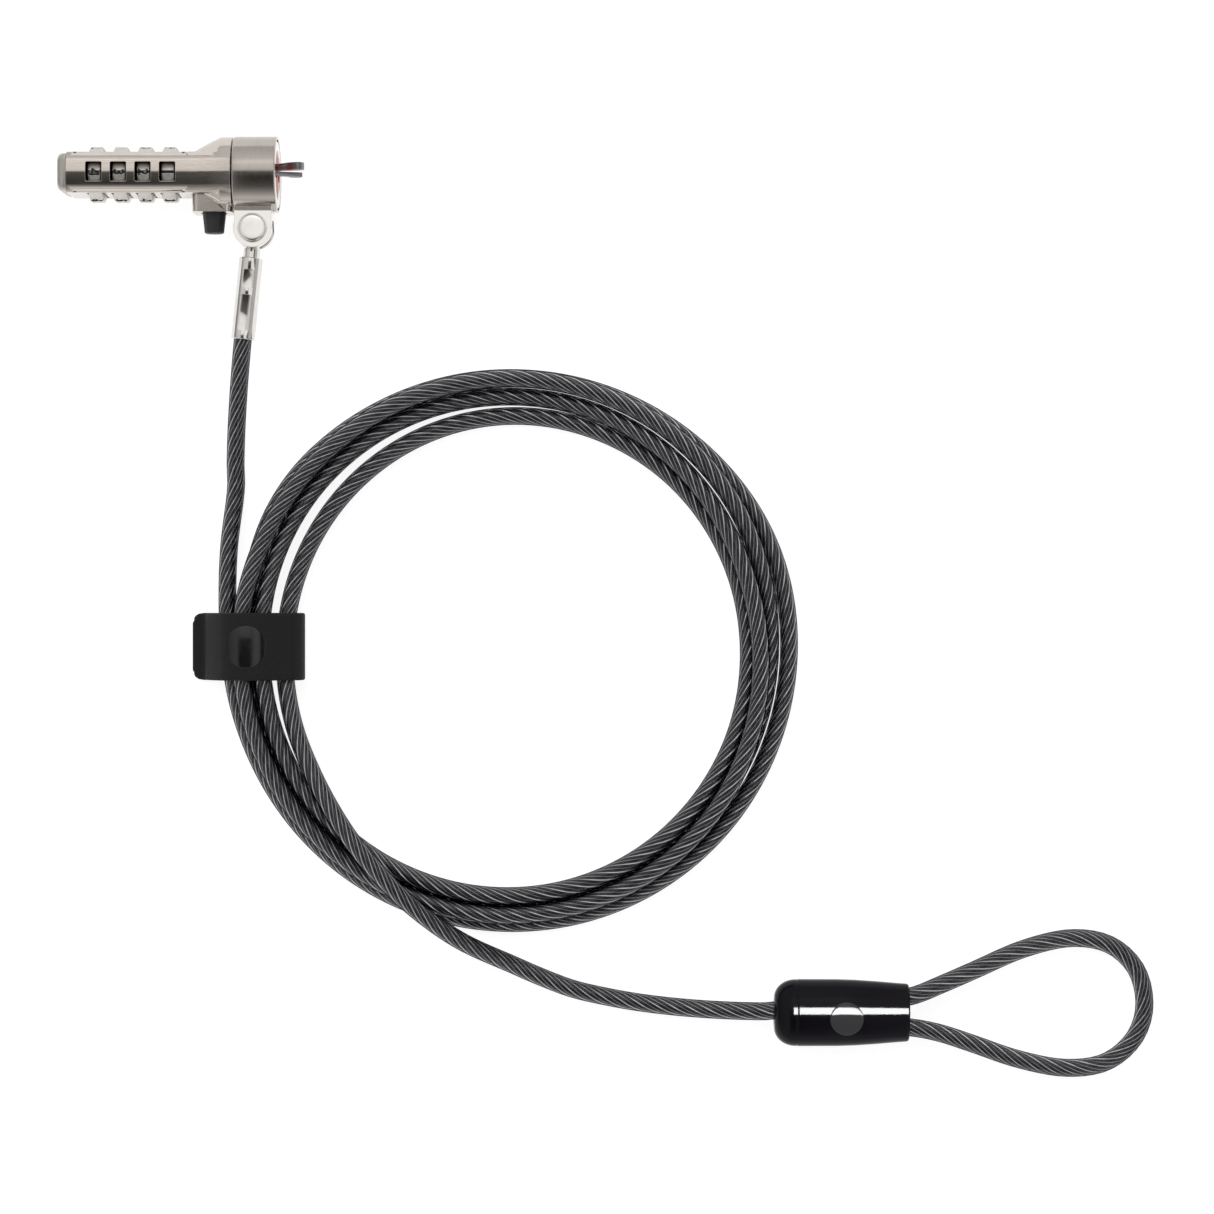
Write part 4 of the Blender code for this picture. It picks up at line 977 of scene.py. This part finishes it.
def make_strap():
    """Strap in three lengths: under the coil, round the fold, and over the top."""
    w = 7.5
    under = ((-19.6, 0.6), (-18.4, 0.6), (-10.0, 0.6), (-2.0, 0.6), (3.0, 0.62))
    fold = ((3.0, 0.62), (4.1, 1.0), (4.8, 2.0), (5.0, 3.3), (4.85, 4.9), (4.2, 6.2), (2.9, 7.3))
    over = ((2.9, 7.3), (1.5, 8.1), (-0.5, 9.1), (-3.4, 10.3), (-6.5, 10.75), (-9.4, 10.7),
            (-11.6, 9.8), (-13.2, 8.2), (-14.6, 6.3), (-15.6, 4.6), (-16.2, 3.0), (-17.2, 2.0),
            (-18.4, 1.9), (-19.6, 1.85))
    piece("strap_under", strap_mesh(under, (5.4, 7.3, w, w, w)), MAT["webbing"],
          "cable_assembly", ("strap_base",), 50)
    piece("strap_over", strap_mesh(over, [w] * 12 + [7.3, 5.4]), MAT["webbing"], "strap_top",
          ("strap_flap",), 50)
    obj = piece("strap_fold", strap_mesh(fold, (w, w)), MAT["webbing"], None,
                sharp=0)
    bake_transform(obj)
    rings = []
    slope = catmull(np.array(over, float), 8)
    order = np.argsort(slope[:, 0])
    for r, lift in ((0.02, 0.42), (1.6, 0.39), (2.8, 0.30), (3.6, 0.20), (4.2, 0.10), (4.5, 0.04),
                    (4.62, 0.0), (4.68, -0.12)):
        ring = []
        for a in circle(96):
            x, y = -6.9 + r * math.cos(a), STRAP_Y + r * math.sin(a)
            top = np.interp(x, slope[order, 0], slope[order, 1]) + 0.56
            ring.append((x, y, top + lift + TABLE_Z))
        rings.append(ring)
    piece("strap_disc", grid_mesh("disc", np.array(rings)), MAT["gloss"],
          "strap_top", (), 50)


# ---- light and camera ----------------------------------------------
def area_light(name, size, energy, place):
    """A rectangular lamp, facing down until it is turned."""
    lamp = bpy.data.lights.new(name, "AREA")
    lamp.shape = "RECTANGLE"
    lamp.size, lamp.size_y = size
    lamp.energy = energy
    obj = link(bpy.data.objects.new(name, lamp))
    obj.location = place
    return obj


def make_studio():
    """Pale floor, a soft studio sky with one long bright strip, and the camera overhead."""
    world = bpy.data.worlds.new("studio")
    bpy.context.scene.world = world
    sky = Nodes(world, "Background")
    split = sky.add("SeparateXYZ")
    sky.join(sky.add("TexCoord").outputs["Generated"], split.inputs["Vector"])
    tilt = sky.math("ARCTAN2", split.outputs["Y"], split.outputs["Z"])
    across = ((-180, 0.5), (-100, 0.45), (-77, 0.95), (-66, 0.6), (-52, 0.30), (-40, 0.12),
              (-25, 0.06), (-11, 0.04), (-5, 0.08), (6.2, 0.13), (7.2, 0.85), (12, 1.0),
              (25, 1.1), (34, 1.45), (44, 1.0), (79, 0.75), (100, 0.7), (180, 0.5))
    beside = ((-1.0, 0.22), (-0.85, 0.6), (-0.5, 0.8), (-0.35, 0.75), (-0.22, 0.3), (0.12, 0.25),
              (0.22, 0.8), (0.35, 1.1), (0.52, 1.0), (0.62, 0.10), (0.72, 0.07), (0.8, 0.5),
              (1.0, 0.55))
    weight = ((-1.0, 1.0), (-0.36, 1.0), (-0.22, 0.0), (0.12, 0.0), (0.25, 1.0), (1.0, 1.0))
    glow = []
    for source, reach, stops in ((tilt, math.pi, across), (split.outputs["X"], 1.0, beside),
                                 (split.outputs["X"], 1.0, weight)):
        colour = sky.add("ValToRGB")
        sky.join(sky.span(source, -reach, reach, 0.0, 1.0), colour.inputs["Fac"])
        band = colour.color_ramp
        band.elements.remove(band.elements[1])
        first = stops[0][0]
        last = stops[-1][0]
        for place, value in stops:
            at = (place - first) / (last - first)
            stop = band.elements[0] if place == first else band.elements.new(at)
            stop.position = at
            stop.color = (value, value * 0.985, value * 0.965, 1.0)
        glow.append(colour.outputs["Color"])
    sky.set(Color=sky.mix(glow[2], glow[0], glow[1]), Strength=1.0)

    n = material("floor_paper")
    soft = n.noise(6, 2.0)
    n.set(Base_Color=n.mix(soft, (0.24, 0.24, 0.24), (0.26, 0.26, 0.26)), Roughness=0.9,
          Emission_Strength=0.88, Emission_Color=(1.0, 1.0, 1.0, 1.0))
    bm = bmesh.new()
    bmesh.ops.create_grid(bm, x_segments=1, y_segments=1, size=3.0)
    floor = link(bpy.data.objects.new("floor", mesh_from("floor", bm)))
    floor.location.z = -0.0001
    floor.data.materials.append(n.mat)

    key = area_light("soft_box", (0.9, 0.5), 3.0, (-0.25, 0.45, 0.75))
    key.visible_glossy = False
    key.rotation_euler = (Vector((0, 0, 0)) - key.location).to_track_quat("-Z", "Y").to_euler()

    over = area_light("strip_light", (1.1, 0.36), 150.0, (0.47, 0.004, 1.2))
    over.visible_diffuse = False
    over.visible_camera = False
    shown = bpy.data.collections.new("strip_lit")
    for name in ("moulded_sleeve", "sleeve_disc"):
        shown.objects.link(bpy.data.objects[name])
    over.light_linking.receiver_collection = shown

    camera = bpy.data.cameras.new("camera")
    camera.sensor_width = 36.0
    camera.lens = camera.sensor_width / 2 / math.tan(math.radians(HALF_VIEW))
    camera.clip_start = 0.01
    eye = link(bpy.data.objects.new("camera", camera))
    eye.location = (-0.00045, 0.00025, 0.795)
    bpy.context.scene.camera = eye
    bpy.context.scene.view_settings.view_transform = "Standard"


# ---- everything together -------------------------------------------
MAT = {
    # body and dial: painted shade in their crevices, darkened by ambient occlusion
    "body": brushed("body_nickel", (0.60, 0.55, 0.505), 0.11, (0.06, 1, 1), 0.05,
                    painted_crevice_shade=0.8),
    # collar: its lug below Y -8.3 is polished, with a lighter colour that is partly a painted highlight
    "collar": brushed("collar_nickel", (0.46, 0.425, 0.395), 0.15, (1, 0.06, 0.06), 0.05,
                      grain=0.07, shine_below=-8.3),
    "cap": brushed("cap_nickel", (0.50, 0.48, 0.45), 0.32, (1, 0.08, 0.08)),
    "dial": brushed("dial_nickel", (0.64, 0.61, 0.575), 0.40, (1, 0.2, 0.2), painted_crevice_shade=0.85),
    "steel": brushed("plain_steel", (0.58, 0.58, 0.58), 0.28, (0.3, 1, 1)),
    "brass": brushed("plain_brass", (0.66, 0.50, 0.24), 0.28, (0.3, 1, 1)),
    "dark": brushed("dark_blade_steel", (0.24, 0.235, 0.24), 0.28, (0.1, 1, 1), edge=0.12),
    "chrome": polished("polished_chrome", (0.74, 0.725, 0.705)),
    "pin": polished("pin_chrome", (0.80, 0.79, 0.77), 0.12, 0.12),
    "red": moulded("red_plastic", (0.52, 0.09, 0.08), 0.35, 0.5, 1400, 0.3),
    "black": moulded("button_plastic", (0.010, 0.010, 0.011), 0.42, 0.6, 1800, 0.5),
    "sleeve": moulded("sleeve_plastic", (0.0040, 0.0033, 0.0055), 0.05, 0.1, 700, 0.1, 0.0, 0.1),
    "badge": moulded("badge_print", (0.036, 0.036, 0.039), 0.05, 0.1, 900, 0.05, 0.0, 0.1),
    "gloss": moulded("pressed_disc", (0.004, 0.004, 0.005), 0.10, 0.2, 900, 0.2, 0.0, 0.45),
    "ink": moulded("numeral_paint", (0.006, 0.006, 0.006), 0.5, 0.7, 1500, 0.3),
    "rope": rope_steel(),
    "jacket": clear_jacket(),
    "webbing": webbing(),
}
KEPT = {"steel": ("end_cap_pin", "hook_pin", "code_spindle", "detent_spring", "loop_crimp"),
        "brass": ("tumbler_1", "tumbler_2", "tumbler_3", "tumbler_4")}
for look, names in KEPT.items():
    for name in names:
        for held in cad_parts[name].material_slots:
            held.material = MAT[look]

make_cable(cable_path())
make_body()
make_cap()
make_dials()
make_button()
make_springs()
make_nose()
make_hooks()
make_collar()
make_link()
make_sleeve()
make_strap()
make_studio()
